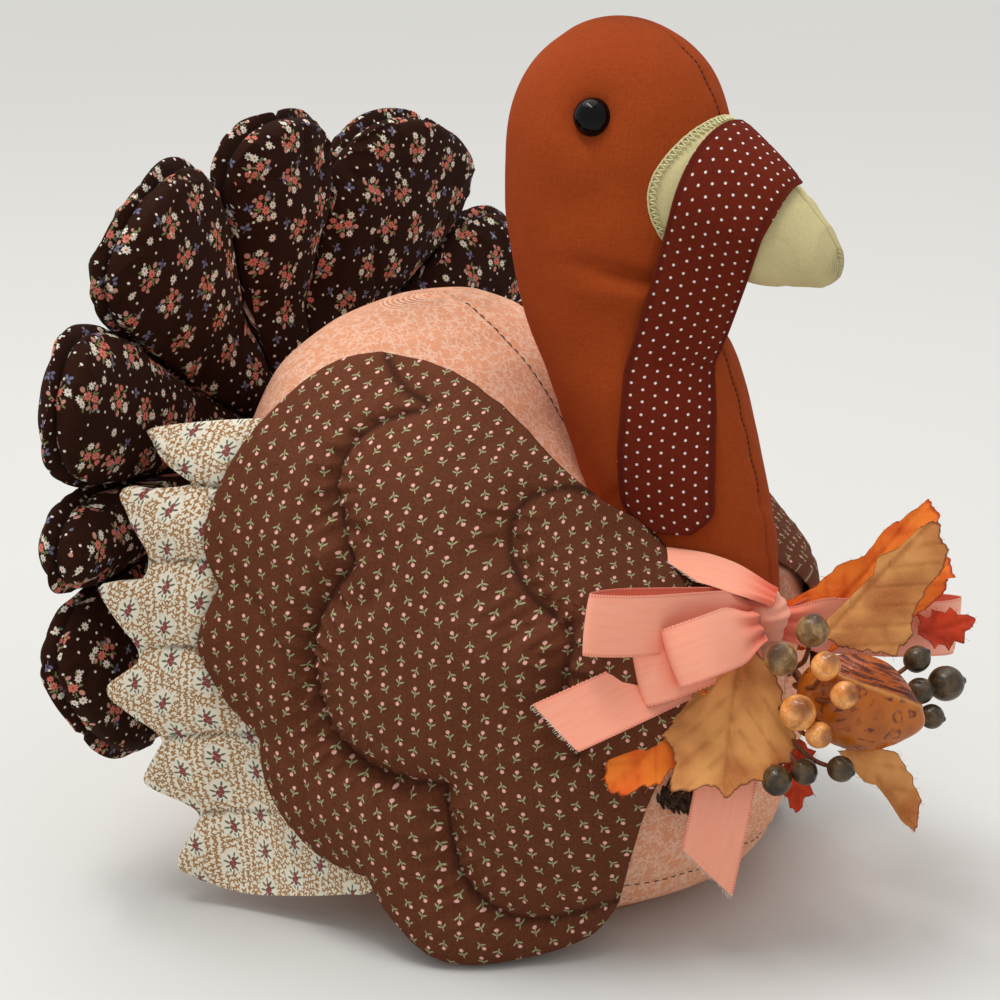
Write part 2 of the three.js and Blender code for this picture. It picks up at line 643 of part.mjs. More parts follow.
const LEAVES = [
  {
    name: 'leaf_orange_top', look: 'leafOrange', size: { length: 80, halfWidth: 26, bend: -4 },
    at: [131, -8, 112], tip: [165, 47, 158], face: [0.5, -0.82, 0.28],
  },
  {
    name: 'leaf_tan_top', look: 'leafTan', size: { length: 66, halfWidth: 21, bend: 4 },
    at: [143, -16, 116], tip: [172, 33, 152], face: [0.52, -0.8, 0.3],
  },
  {
    name: 'leaf_red_side', look: 'leafRed', size: { length: 52, halfWidth: 15, bend: 3 },
    at: [152, 2, 103], tip: [183, 44, 108], face: [0.55, -0.5, 0.66],
  },
  {
    name: 'leaf_tan_front', look: 'leafTan', size: { length: 62, halfWidth: 29, bend: 5 },
    at: [137, -36, 116], tip: [124, -72, 64], face: [0.6, -0.75, 0.25],
  },
  {
    name: 'leaf_orange_low', look: 'leafOrange', size: { length: 48, halfWidth: 12, bend: 3 },
    at: [120, -51, 96], tip: [102, -90, 68], face: [0.5, -0.8, 0.4],
  },
  {
    name: 'leaf_tan_low', look: 'leafTan', size: { length: 44, halfWidth: 17, bend: 3 },
    at: [160, -26, 78], tip: [190, -17, 49], face: [0.5, -0.85, 0.2],
  },
  {
    name: 'leaf_red_low', look: 'leafRed', size: { length: 34, halfWidth: 12, bend: 2 },
    at: [148, -34, 86], tip: [152, -42, 55], face: [0.6, -0.78, 0.2],
  },
];

// Berries wired to one root: centre and radius of each.
const SPRIGS = [
  { name: 'berries_top', root: [140, -22, 106], berries: [[145, -41, 116, 6], [151, -28, 124, 6]] },
  { name: 'berries_orange', root: [147, -33, 104], berries: [[163, -42, 117, 5.3], [171, -43, 108, 5]] },
  { name: 'berries_middle', root: [144, -38, 96], berries: [[157, -51, 101, 6.5], [164, -48, 93, 4.8]] },
  {
    name: 'berries_low', root: [142, -36, 88],
    berries: [[150, -52, 74, 5.5], [158, -46, 77, 4.8], [169, -39, 78, 4.8]],
  },
  {
    name: 'berries_side', root: [154, 0, 98],
    berries: [[178, 6, 108, 5], [187, 13, 98, 6.6], [181, 3, 97, 5], [186, 3, 88, 4.6]],
  },
];
const SPRIG_KNOB = 1.8;

function wire(from, to, radius) {
  const path = new THREE.LineCurve3(vec(...from), vec(...to));
  const section = new THREE.Shape(ring(6, a => vec(radius * Math.cos(a), radius * Math.sin(a), 0)));
  return solidFrom(new THREE.ExtrudeGeometry(section, { extrudePath: path, steps: 1, bevelEnabled: false }));
}

function berrySprig({ root, berries }, room) {
  const ball = (radius, detail, at) => solidFrom(
    new THREE.IcosahedronGeometry(radius, detail).translate(...at));
  return berries.reduce((sprig, [x, y, z, radius]) => sprig
    .add(ball(radius + room, 1, [x, y, z]))
    .add(wire(root, [x, y, z], STEM_RADIUS + room)), ball(SPRIG_KNOB + room, 0, root));
}

function podForm(room) {
  const pod = new THREE.SphereGeometry(1, 16, 10);
  pod.rotateZ(Math.PI / 2);
  const p = pod.attributes.position;
  const [long, wide, deep] = POD.half.map(half => half + room);
  for (let i = 0; i < p.count; i++) {
    const taper = 1 - POD.taper * Math.max(0, p.getX(i)) ** 2;
    p.setXYZ(i, p.getX(i) * long, p.getY(i) * wide * taper, p.getZ(i) * deep * taper);
  }
  return solidFrom(placedAt(pod, POD.centre, POD.along, POD.near));
}

function coneForm(room) {
  const cone = new THREE.SphereGeometry(1, 14, 9);
  cone.rotateZ(Math.PI / 2).scale(...CONE.half.map(half => half + room));
  return solidFrom(placedAt(cone, CONE.centre, CONE.along, CONE.near));
}

function addSpray(taken) {
  addInTurn('pod', podForm, material.pod, taken);
  addInTurn('pine_cone', coneForm, material.cone, taken);
  addInTurn('spray_wire', room => wire(STEM.from, STEM.to, STEM.radius + room), material.wire, taken);
  for (const sprig of SPRIGS) {
    addInTurn(sprig.name, room => berrySprig(sprig, room), material.berry, taken);
  }
  for (const { name, look, size, at, tip, face } of LEAVES) {
    const along = tip.map((c, i) => c - at[i]);
    const form = room => solidFrom(placedAt(leafForm(size, room), at, along, face));
    addInTurn(name, form, material[look], taken);
  }
}

addBody();
addHead();
addEyes();
addWattle();
const taken = [bodyRoom, neckRoom];
addWings(taken);
addTail();
addBow(taken);
addSpray(taken);

export default pieces;
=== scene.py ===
"""Looks of a stuffed calico turkey with quilted wings, a scalloped tail, a satin bow and an autumn spray.

Shapes are worked out in millimetres and laid down in metres. The rows of sizes repeat those of the
frame's own solids, so each piece sits where its solid is.
"""

import logging
import math
from dataclasses import dataclass, field
from enum import Enum
from typing import Callable, Optional, Sequence, Union

import bmesh
import bpy
import numpy as np
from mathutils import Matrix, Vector, noise


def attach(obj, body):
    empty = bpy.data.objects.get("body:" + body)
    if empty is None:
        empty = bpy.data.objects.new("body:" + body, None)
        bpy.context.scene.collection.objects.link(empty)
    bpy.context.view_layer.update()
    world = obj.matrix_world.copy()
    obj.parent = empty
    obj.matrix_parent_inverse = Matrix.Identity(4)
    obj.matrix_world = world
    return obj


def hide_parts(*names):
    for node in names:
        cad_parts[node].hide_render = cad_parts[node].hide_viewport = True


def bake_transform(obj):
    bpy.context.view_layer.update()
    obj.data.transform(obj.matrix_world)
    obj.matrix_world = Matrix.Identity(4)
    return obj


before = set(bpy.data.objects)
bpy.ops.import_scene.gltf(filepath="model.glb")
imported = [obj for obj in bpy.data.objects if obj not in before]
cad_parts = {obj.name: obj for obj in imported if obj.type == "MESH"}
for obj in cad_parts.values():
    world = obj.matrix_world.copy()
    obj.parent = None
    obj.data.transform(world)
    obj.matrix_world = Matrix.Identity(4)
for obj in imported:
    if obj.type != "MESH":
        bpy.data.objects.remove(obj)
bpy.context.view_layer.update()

LOG = logging.getLogger("turkey")
MM = 0.001
FULL_TURN = 2 * math.pi
PLAIN_BALL = 3500

Numbers = np.ndarray
Rows = Sequence[Sequence[float]]
Point = tuple[float, float, float]


# Curves and sums


def along(rows: Rows, place: Numbers) -> Numbers:
    """Reads a table of rows on the smooth curve through them.

    Args:
        rows: The table, one row for each whole place.
        place: Places along the table, which need not be whole.

    Returns:
        One row of values for each place.
    """
    table = np.array(rows, float)
    last = len(table) - 1
    place = np.clip(np.asarray(place, float), 0, last)
    step = np.minimum(place.astype(int), last - 1)
    part = (place - step)[:, None]
    before = table[np.maximum(step - 1, 0)]
    here = table[step]
    there = table[step + 1]
    after = table[np.minimum(step + 2, last)]
    square = 2 * before - 5 * here + 4 * there - after
    cube = 3 * here - before - 3 * there + after
    return 0.5 * (2 * here + (there - before) * part + square * part**2 + cube * part**3)


def at_level(rows: Rows, level: Numbers) -> Numbers:
    """Reads a table at values of its first column.

    Args:
        rows: The table, with its first column rising.
        level: Values of the first column.

    Returns:
        One row of values for each level.
    """
    first = np.array([row[0] for row in rows], float)
    step = np.clip(np.searchsorted(first, level, side="right") - 1, 0, len(first) - 2)
    part = np.clip((level - first[step]) / (first[step + 1] - first[step]), 0, 1)
    return along(rows, step + part)


def smooth_line(points: Rows, pieces: int) -> Numbers:
    """Gives points spaced along the smooth line through a few given ones."""
    return along(points, np.linspace(0, len(points) - 1, pieces + 1))


def run_along(line: Numbers) -> Numbers:
    """Gives the distance run at each point of a line."""
    return np.concatenate([[0], np.cumsum(np.linalg.norm(np.diff(line, axis=0), axis=1))])


def read_line(marks: Numbers, run: Numbers, table: Numbers) -> Numbers:
    """Reads every column of a table at the given distances run."""
    return np.stack([np.interp(marks, run, column) for column in table.T], 1)


def read_grid(grid: Numbers, row: Numbers, column: Numbers) -> Numbers:
    """Reads a grid of points between its rows and columns.

    Args:
        grid: The points, by row and column.
        row: Places along the rows, which need not be whole.
        column: Places along the columns.

    Returns:
        One point for each place.
    """
    low_row = np.clip(row.astype(int), 0, len(grid) - 2)
    low_column = np.clip(column.astype(int), 0, grid.shape[1] - 2)
    down, over = (row - low_row)[:, None], (column - low_column)[:, None]
    top = grid[low_row, low_column] * (1 - over) + grid[low_row, low_column + 1] * over
    low = grid[low_row + 1, low_column] * (1 - over) + grid[low_row + 1, low_column + 1] * over
    return top * (1 - down) + low * down


def signed_power(value: Numbers, power: float) -> Numbers:
    """Raises the size of each value to a power and keeps its sign."""
    return np.sign(value) * np.abs(value) ** power


def ease(value: Numbers, low: float, high: float) -> Numbers:
    """Rises smoothly from 0 at low to 1 at high, or falls where low is the larger."""
    part = np.clip((value - low) / (high - low), 0, 1)
    return part * part * (3 - 2 * part)


def hill(distance: Numbers, width: float) -> Numbers:
    """Is 1 at no distance and fades to nothing within about two widths."""
    return np.exp(-((distance / width) ** 2))


def unit(vectors: Numbers) -> Numbers:
    """Scales each vector to length 1."""
    length = np.linalg.norm(vectors, axis=-1, keepdims=True)
    return vectors / np.maximum(length, 1e-9)


def lumps(at: Numbers, size: float, seed: float = 0.0) -> Numbers:
    """Smooth random unevenness of a surface.

    Args:
        at: Points in millimetres.
        size: Width of one lump in millimetres.
        seed: Shift that gives another unevenness.

    Returns:
        A value between about -1 and 1 for each point.
    """
    shift = Vector((seed, 2.3 * seed, 5.1 * seed))
    return np.array([noise.noise(Vector(p) / size + shift) for p in at])


def folds(at: Numbers, size: float, seed: float = 0.0) -> Numbers:
    """Thin wandering creases, 1 along them and 0 away from them."""
    return np.clip(1 - 6 * np.abs(lumps(at, size, seed)), 0, 1)


@dataclass(frozen=True)
class Seams:
    """Stitched lines on a flat plan of a piece."""

    lines: tuple[tuple[tuple[float, float], ...], ...]

    def nearest(self, x: Numbers, y: Numbers) -> tuple[Numbers, Numbers]:
        """Finds the nearest place on the stitched lines.

        Args:
            x: First coordinate of each point.
            y: Second coordinate of each point.

        Returns:
            The distance to the lines, and how far along its line the nearest place is.
        """
        best = np.full(len(x), 1e9)
        run = np.zeros(len(x))
        for line in self.lines:
            done = 0.0
            for (ax, ay), (bx, by) in zip(line, line[1:]):
                length = math.hypot(bx - ax, by - ay)
                share = np.clip(((x - ax) * (bx - ax) + (y - ay) * (by - ay)) / length**2, 0, 1)
                gap = np.hypot(x - ax - share * (bx - ax), y - ay - share * (by - ay))
                nearer = gap < best
                best = np.where(nearer, gap, best)
                run = np.where(nearer, done + share * length, run)
                done += length
        return best, run


def smooth_seams(lines: Sequence[Rows], pieces: int = 24) -> Seams:
    """Makes seams that run smoothly through a few points each."""
    return Seams(tuple(tuple(map(tuple, smooth_line(line, pieces))) for line in lines))


# Meshes


class Form:
    """A closed mesh that starts as an operator's ball and is shaped by moving its vertices.

    turn is the angle of each vertex round the ball, and way is 0 at one pole and 1 at the other.
    """

    def __init__(self, name: str, around: int, rings: int) -> None:
        """Makes the ball.

        Args:
            name: Name of the piece.
            around: Number of sides.
            rings: Number of bands from pole to pole.
        """
        halvings, bands = 0, rings
        while around * rings > PLAIN_BALL and around % 2 + rings % 2 == 0:
            around, rings, halvings = around // 2, rings // 2, halvings + 1
        build = bmesh.new()
        bmesh.ops.create_uvsphere(build, u_segments=around, v_segments=rings, radius=1)
        for _ in range(halvings):
            bmesh.ops.subdivide_edges(build, edges=build.edges[:], cuts=1, use_grid_fill=True)
        self.name = name
        self.mesh = bpy.data.meshes.new(name)
        build.to_mesh(self.mesh)
        build.free()
        flat = np.empty(3 * len(self.mesh.vertices), np.float32)
        self.mesh.vertices.foreach_get("co", flat)
        x, y, z = unit(flat.reshape(-1, 3).astype(float)).T
        self.turn = np.arctan2(y, x)
        self.way = np.round(np.arccos(np.clip(-z, -1, 1)) / math.pi * bands) / bands
        across = np.sin(self.way * math.pi)
        self.at = np.stack([
            across * np.cos(self.turn), across * np.sin(self.turn), -np.cos(self.way * math.pi)
        ], 1)

    def place(self, at: Numbers) -> "Form":
        """Moves the vertices to points in millimetres.

        Args:
            at: The points.

        Returns:
            The form.
        """
        self.at = np.asarray(at, float)
        self.mesh.vertices.foreach_set("co", (self.at * MM).astype(np.float32).ravel())
        self.mesh.update()
        return self

    def mark(self, name: str, values: Union[Numbers, float]) -> None:
        """Keeps a value for each vertex, which materials read by its name.

        Args:
            name: Name of the value.
            values: One value, or one for each vertex.
        """
        held = self.mesh.attributes.new(name, "FLOAT", "POINT")
        spread = np.broadcast_to(np.asarray(values, np.float32), (len(self.mesh.vertices),))
        held.data.foreach_set("value", np.ascontiguousarray(spread))

    def lay_cloth(self, u: Numbers, v: Numbers, rim: Optional[tuple[Numbers, Numbers]] = None) -> None:
        """Lays the cloth's own plane on the piece, in millimetres of cloth.

        Args:
            u: Place across the cloth at each vertex.
            v: Place along the cloth at each vertex.
            rim: The same two for faces that stand across the X axis, where a rim is thick.
        """
        corner = np.empty(len(self.mesh.loops), np.int32)
        self.mesh.loops.foreach_get("vertex_index", corner)
        place = np.stack([u, v], 1)[corner]
        if rim is not None:
            facing = np.empty(3 * len(self.mesh.polygons), np.float32)
            sizes = np.empty(len(self.mesh.polygons), np.int32)
            self.mesh.polygons.foreach_get("normal", facing)
            self.mesh.polygons.foreach_get("loop_total", sizes)
            steep = np.repeat(np.abs(facing[::3]) < 0.62, sizes)
            place[steep] = np.stack(rim, 1)[corner][steep]
        layer = self.mesh.uv_layers.new(name="cloth")
        layer.data.foreach_set("uv", place.astype(np.float32).ravel())

    def outward(self) -> Numbers:
        """Gives the outward direction at each vertex.

        Returns:
            One unit vector for each vertex.
        """
        self._face_out()
        flat = np.empty(3 * len(self.mesh.vertices), np.float32)
        self.mesh.vertex_normals.foreach_get("vector", flat)
        return flat.reshape(-1, 3).astype(float)

    def _face_out(self) -> None:
        """Turns every face outwards."""
        build = bmesh.new()
        build.from_mesh(self.mesh)
        bmesh.ops.recalc_face_normals(build, faces=build.faces)
        build.to_mesh(self.mesh)
        build.free()

    def piece(self, look: "Finish", *nodes: str, body: str = "figure") -> bpy.types.Object:
        """Makes the finished object.

        Args:
            look: Finish of the piece.
            *nodes: The frame's nodes that it stands for.
            body: The body that it rides on, or nothing for a piece left unattached.

        Returns:
            The object, in the scene and at the origin.
        """
        self._face_out()
        for polygon in self.mesh.polygons:
            polygon.use_smooth = True
        made = bpy.data.objects.new(self.name, self.mesh)
        made.data.materials.append(look.material())
        bpy.context.scene.collection.objects.link(made)
        if body:
            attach(made, body)
        if nodes:
            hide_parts(*nodes)
        LOG.info("%s on %s: %d vertices", self.name, body or "two bodies", len(self.mesh.vertices))
        return made


def joined(name: str, forms: Sequence[Form]) -> Form:
    """Puts several forms into one mesh.

    Args:
        name: Name of the new form.
        forms: The forms, whose own meshes are removed.

    Returns:
        The first form, with the meshes of all in it.
    """
    build = bmesh.new()
    for form in forms:
        build.from_mesh(form.mesh)
    whole = forms[0]
    whole.name = name
    build.to_mesh(whole.mesh)
    build.free()
    for form in forms[1:]:
        bpy.data.meshes.remove(form.mesh)
    return whole


def frames_along(path: Numbers) -> tuple[Numbers, Numbers]:
    """Finds two directions square to a path that turn as little as they can.

    Args:
        path: Points of the path.

    Returns:
        Two unit vectors for each point.
    """
    ahead = unit(np.gradient(path, axis=0))
    side = np.zeros_like(path)
    last = np.cross(ahead[0], (0.0, 0.0, 1.0))
    if np.linalg.norm(last) < 0.1:
        last = np.cross(ahead[0], (0.0, 1.0, 0.0))
    for k, direction in enumerate(ahead):
        last = last - direction * (last @ direction)
        last = last / np.linalg.norm(last)
        side[k] = last
    return side, np.cross(ahead, side)


def tube(name: str, path: Numbers, radius: Union[float, Numbers], sides: int = 6) -> Form:
    """Makes a closed round strand along a path.

    Args:
        name: Name of the strand.
        path: Points of its middle line, in millimetres.
        radius: One radius, or one for each point.
        sides: Number of sides.

    Returns:
        The strand.
    """
    rings = len(path) + 1
    form = Form(name, sides, rings)
    step = np.clip(np.rint(form.way * rings).astype(int) - 1, 0, len(path) - 1)
    side, up = frames_along(path)
    thick = np.broadcast_to(np.asarray(radius, float), (len(path),))[step][:, None]
    at_pole = (form.way < 1e-3) | (form.way > 1 - 1e-3)
    thick = np.where(at_pole[:, None], 0, thick)
    turned = np.cos(form.turn)[:, None] * side[step] + np.sin(form.turn)[:, None] * up[step]
    return form.place(path[step] + thick * turned)


def stitches(name: str, line: Numbers, out: Numbers, pitch: float = 2.3, long: float = 1.7) -> Form:
    """Sews thread along a line that lies on cloth.

    Args:
        name: Name of the row of stitches.
        line: Points of the line, in millimetres.
        out: Outward direction at each point.
        pitch: Distance from one stitch to the next.
        long: Length of a stitch.

    Returns:
        The row.
    """
    run = run_along(line)
    height = np.array([-0.6, 0.02, 0.12, 0.02, -0.6])[:, None]
    threads = []
    for start in np.arange(0, run[-1] - pitch, pitch):
        share = np.linspace(start, start + long, 5)
        path = read_line(share, run, line) + read_line(share, run, out) * height
        threads.append(tube("stitch", path, 0.22, 5))
    return joined(name, threads)


# Nodes


class Shade:
    """A node tree in the making, whose nodes give out Fields."""

    def __init__(self, tree: bpy.types.NodeTree) -> None:
        """Starts on a tree, with nothing cleared from it."""
        self.tree = tree

    def node(self, kind: str, **settings: object) -> bpy.types.Node:
        """Adds a node.

        Args:
            kind: Type of the node.
            **settings: Its settings.

        Returns:
            The node.
        """
        made = self.tree.nodes.new(kind)
        for name, value in settings.items():
            setattr(made, name, value)
        return made

    def plug(self, value: object, socket: bpy.types.NodeSocket) -> None:
        """Fills a socket.

        Args:
            value: A Field, which is linked, or a number or web colour, which is set.
            socket: The socket.
        """
        if isinstance(value, Field):
            self.tree.links.new(value.socket, socket)
        else:
            socket.default_value = colour(value) if isinstance(value, str) else value

    def add(self, kind: str, values: Sequence[object] = (), out: int = 0, **settings: object) -> "Field":
        """Adds a node and gives one of its outputs.

        Args:
            kind: Type of the node.
            values: What goes into its sockets in their order, with None for one left alone.
            out: Number of the output.
            **settings: Its settings.

        Returns:
            The output.
        """
        made = self.node(kind, **settings)
        for value, socket in zip(values, made.inputs):
            if value is not None:
                self.plug(value, socket)
        return Field(self, made.outputs[out])

    def math(self, operation: str, *values: object) -> "Field":
        """Adds one sum."""
        return self.add("ShaderNodeMath", values, operation=operation)

    def ease(self, value: object, low: float, high: float) -> "Field":
        """Rises smoothly from 0 at low to 1 at high, or falls where low is the larger."""
        ends = (low, high, 0.0, 1.0) if low < high else (high, low, 1.0, 0.0)
        return self.add("ShaderNodeMapRange", (value, *ends), interpolation_type="SMOOTHSTEP")

    def mix(self, share: object, low: object, high: object) -> "Field":
        """Mixes two colours, all low where the share is 0."""
        return self.add("ShaderNodeMix", (share, *[None] * 5, low, high), 2, data_type="RGBA")

    def split(self, vector: "Field") -> tuple["Field", ...]:
        """Takes a vector apart."""
        apart = self.add("ShaderNodeSeparateXYZ", (vector,)).socket.node
        return tuple(Field(self, out) for out in apart.outputs)

    def vector(self, x: object, y: object, z: object = 0.0) -> "Field":
        """Puts a vector together."""
        return self.add("ShaderNodeCombineXYZ", (x, y, z))

    def cloth(self) -> tuple["Field", "Field"]:
        """Reads the place on the cloth's own plane, in millimetres."""
        u, v, _ = self.split(self.add("ShaderNodeUVMap", uv_map="cloth"))
        return u, v

    def spot(self) -> "Field":
        """Reads the place on the object, in millimetres."""
        where = self.add("ShaderNodeTexCoord", out=3)
        return self.add("ShaderNodeMapping", (where, None, None, (1 / MM,) * 3))

    def marked(self, name: str) -> "Field":
        """Reads a value that the piece keeps at its vertices."""
        return self.add("ShaderNodeAttribute", out=2, attribute_name=name)

    def noise(self, where: "Field", size: float, detail: float = 2.0, rough: float = 0.5) -> "Field":
        """Random unevenness between 0 and 1, with blots of about the given size in millimetres."""
        return self.add("ShaderNodeTexNoise", (where, None, 1 / size, detail, rough))

    def cell_edge(self, where: "Field", size: float) -> "Field":
        """Distance from the edges of random cells, in shares of their size."""
        return self.add("ShaderNodeTexVoronoi", (where, None, 1 / size), feature="DISTANCE_TO_EDGE")

    def moved(self, where: "Field", size: float, reach: float) -> "Field":
        """Shifts places unevenly, so that straight lines in a pattern wander."""
        swirl = self.add("ShaderNodeTexNoise", (where, None, 1 / size), 1)
        return self.add("ShaderNodeVectorMath", (swirl, (reach,) * 3, where), operation="MULTIPLY_ADD")

    def motif(self, shift: float = 0.0, **sizes: float) -> list["Field"]:
        """Reads the place inside a repeating motif, its chance and its choice."""
        u, v = self.cloth()
        return PATTERNS.repeat.place(self, u=u + shift, v=v, **sizes)


def as_method(operation: str, swapped: bool = False) -> Callable[..., "Field"]:
    """Makes a method of Field that adds a sum.

    Args:
        operation: Name of the sum.
        swapped: Whether the Field comes second.

    Returns:
        The method.
    """

    def method(self: "Field", *others: object) -> "Field":
        """Adds the sum."""
        return self.shade.math(operation, *((*others, self) if swapped else (self, *others)))

    return method


@dataclass(frozen=True)
class Field:
    """A number, vector or colour that changes over a surface. Sums with it add nodes."""

    shade: Shade
    socket: bpy.types.NodeSocket

    __add__ = __radd__ = as_method("ADD")
    __sub__ = as_method("SUBTRACT")
    __rsub__ = as_method("SUBTRACT", swapped=True)
    __mul__ = __rmul__ = as_method("MULTIPLY")
    __truediv__ = as_method("DIVIDE")
    sin = as_method("SINE")
    cos = as_method("COSINE")
    floor = as_method("FLOOR")
    part = as_method("FRACT")
    size = as_method("ABSOLUTE")
    over = as_method("GREATER_THAN")
    most = as_method("MAXIMUM")


def colour(code: str) -> tuple[float, float, float, float]:
    """Turns a web colour into the linear one that Blender takes.

    Args:
        code: The colour, written as #rrggbb.

    Returns:
        Its red, green, blue and alpha.
    """
    shares = [int(code[k : k + 2], 16) / 255 for k in (1, 3, 5)]
    linear = [s / 12.92 if s <= 0.04045 else ((s + 0.055) / 1.055) ** 2.4 for s in shares]
    return (*linear, 1.0)


class Group:
    """A shader node group with named inputs and outputs, built once and placed in many materials."""

    def __init__(self, name: str, inputs: Sequence[str], outputs: Sequence[str]) -> None:
        """Makes the group's sockets, all of them numbers.

        Args:
            name: Name of the group.
            inputs: Names of the inputs.
            outputs: Names of the outputs.
        """
        self.tree = bpy.data.node_groups.new(name, "ShaderNodeTree")
        for title in inputs:
            self.tree.interface.new_socket(title, in_out="INPUT", socket_type="NodeSocketFloat")
        for title in outputs:
            self.tree.interface.new_socket(title, in_out="OUTPUT", socket_type="NodeSocketFloat")
        self.shade = Shade(self.tree)
        entry = self.shade.node("NodeGroupInput")
        self.given = [Field(self.shade, entry.outputs[title]) for title in inputs]
        self.exit = self.shade.node("NodeGroupOutput")

    def give(self, **values: Field) -> None:
        """Links values to the group's outputs."""
        for title, value in values.items():
            self.shade.plug(value, self.exit.inputs[title])

    def place(self, shade: Shade, **values: object) -> list[Field]:
        """Puts the group into a material.

        Args:
            shade: The tree to put it in.
            **values: What goes into each input.

        Returns:
            The outputs in order.
        """
        made = shade.node("ShaderNodeGroup", node_tree=self.tree)
        for title, value in values.items():
            shade.plug(value, made.inputs[title])
        return [Field(shade, out) for out in made.outputs]


def turned(x: Field, y: Field, angle: Field) -> tuple[Field, Field]:
    """Turns a place about the middle by an angle."""
    c, s = angle.cos(), angle.sin()
    return x * c + y * s, y * c - x * s


class Patterns:
    """The node groups that prints and weaves are drawn with."""

    def __init__(self) -> None:
        """Builds every group."""
        self.petal = self._petal()
        self.blossom = self._blossom()
        self.repeat = self._repeat()
        self.weave = self._weave()

    @staticmethod
    def _petal() -> Group:
        """A soft-edged oval at a place, turned by an angle.

        Returns:
            The group.
        """
        group = Group("petal", ("x", "y", "across", "up", "angle", "long", "wide"), ("mask",))
        x, y, across, up, angle, long, wide = group.given
        p, q = turned(x - across, y - up, angle)
        p, q = p / long, q / wide
        group.give(mask=group.shade.ease(p * p + q * q, 1.35, 0.7))
        return group

    @staticmethod
    def _blossom() -> Group:
        """A round flower with notched petals.

        Returns:
            The group.
        """
        group = Group("blossom", ("x", "y", "across", "up", "size", "petals"), ("mask", "heart"))
        x, y, across, up, size, petals = group.given
        p, q = x - across, y - up
        reach = group.shade.math("SQRT", p * p + q * q)
        angle = group.shade.math("ARCTAN2", q, p)
        edge = size * ((angle * petals).cos() * 0.17 + 0.83)
        group.give(
            mask=group.shade.ease(reach / edge, 1.12, 0.88),
            heart=group.shade.ease(reach / size, 0.3, 0.18),
        )
        return group

    @staticmethod
    def _repeat() -> Group:
        """A half-drop repeat that gives the place inside one motif, with its own chance and turn.

        Returns:
            The group.
        """
        inputs = ("u", "v", "wide", "high", "loose", "steps", "wobble", "seed")
        group = Group("half_drop_repeat", inputs, ("x", "y", "chance", "choice"))
        u, v, wide, high, loose, steps, wobble, seed = group.given
        shade = group.shade
        column = (u / wide).floor()
        lifted = v / high + shade.math("FLOORED_MODULO", column, 2.0) * 0.5
        row = lifted.floor()
        dice = shade.node("ShaderNodeTexWhiteNoise", noise_dimensions="3D")
        shade.plug(shade.vector(column, row, seed), dice.inputs["Vector"])
        red, green, blue = shade.split(Field(shade, dice.outputs["Color"]))
        x = ((u / wide).part() - 0.5) * wide - (red - 0.5) * loose
        y = (lifted.part() - 0.5) * high - (green - 0.5) * loose
        quarter = (blue * steps).floor() / steps * FULL_TURN
        x, y = turned(x, y, quarter + (red - 0.5) * wobble)
        group.give(x=x, y=y, chance=Field(shade, dice.outputs["Value"]), choice=(red * 7.31).part())
        return group

    @staticmethod
    def _weave() -> Group:
        """Plain weave: high where a thread lies over, low where it dips.

        Returns:
            The group.
        """
        group = Group("plain_weave", ("u", "v", "pitch"), ("height",))
        u, v, pitch = group.given
        warp = (u * FULL_TURN / pitch).sin()
        weft = (v * FULL_TURN / pitch).sin()
        group.give(height=warp * weft * 0.5 + 0.5)
        return group


PATTERNS = Patterns()


# Finishes


@dataclass
class Paint:
    """What a finish draws: its colour, the height of its relief and, if it varies, its roughness."""

    colour: Field
    height: Field
    roughness: Optional[Field] = None


@dataclass(frozen=True)
class Finish:
    """A surface finish, with the settings that are the same all over it."""

    name: str
    slot: str = ""
    ground: str = "#ffffff"
    roughness: float = 0.9
    sheen: float = 0.0
    specular: float = 0.3
    coat: float = 0.0
    relief: float = 0.3

    @property
    def nap(self) -> str:
        """Colour of the sheen."""
        return self.ground

    def paint(self, shade: Shade) -> Paint:
        """Draws the finish in a material's tree."""
        raise NotImplementedError

    def material(self) -> bpy.types.Material:
        """Gives the material, which is built the first time.

        Returns:
            The material.
        """
        held = bpy.data.materials.get(self.name)
        if held is not None:
            return held
        made = bpy.data.materials.new(self.name)
        made.use_nodes = True
        shader = made.node_tree.nodes["Principled BSDF"]
        shade = Shade(made.node_tree)
        drawn = self.paint(shade)
        settings = {
            "Roughness": self.roughness, "Sheen Weight": self.sheen, "Sheen Roughness": 0.45,
            "Sheen Tint": colour(self.nap), "Specular IOR Level": self.specular,
            "Coat Weight": self.coat, "Coat Roughness": 0.12,
        }
        for title, value in settings.items():
            shader.inputs[title].default_value = value
        bump = shade.node("ShaderNodeBump")
        bump.inputs["Distance"].default_value = self.relief * MM
        shade.plug(drawn.height, bump.inputs["Height"])
        shade.plug(drawn.colour, shader.inputs["Base Color"])
        shade.plug(Field(shade, bump.outputs[0]), shader.inputs["Normal"])
        if drawn.roughness is not None:
            shade.plug(drawn.roughness, shader.inputs["Roughness"])
        return made


def petals(shade: Shade, x: Field, y: Field, shapes: Sequence[tuple]) -> Field:
    """Draws several ovals as one mask.

    Args:
        shade: The material's tree.
        x: Place across the motif.
        y: Place up the motif.
        shapes: For each oval its place across and up, its angle in degrees, and its half sizes.

    Returns:
        The mask.
    """
    whole: Optional[Field] = None
    for across, up, degrees, long, wide in shapes:
        angle = math.radians(degrees)
        mask = PATTERNS.petal.place(
            shade, x=x, y=y, across=across, up=up, angle=angle, long=long, wide=wide
        )[0]
        whole = mask if whole is None else whole.most(mask)
    return whole


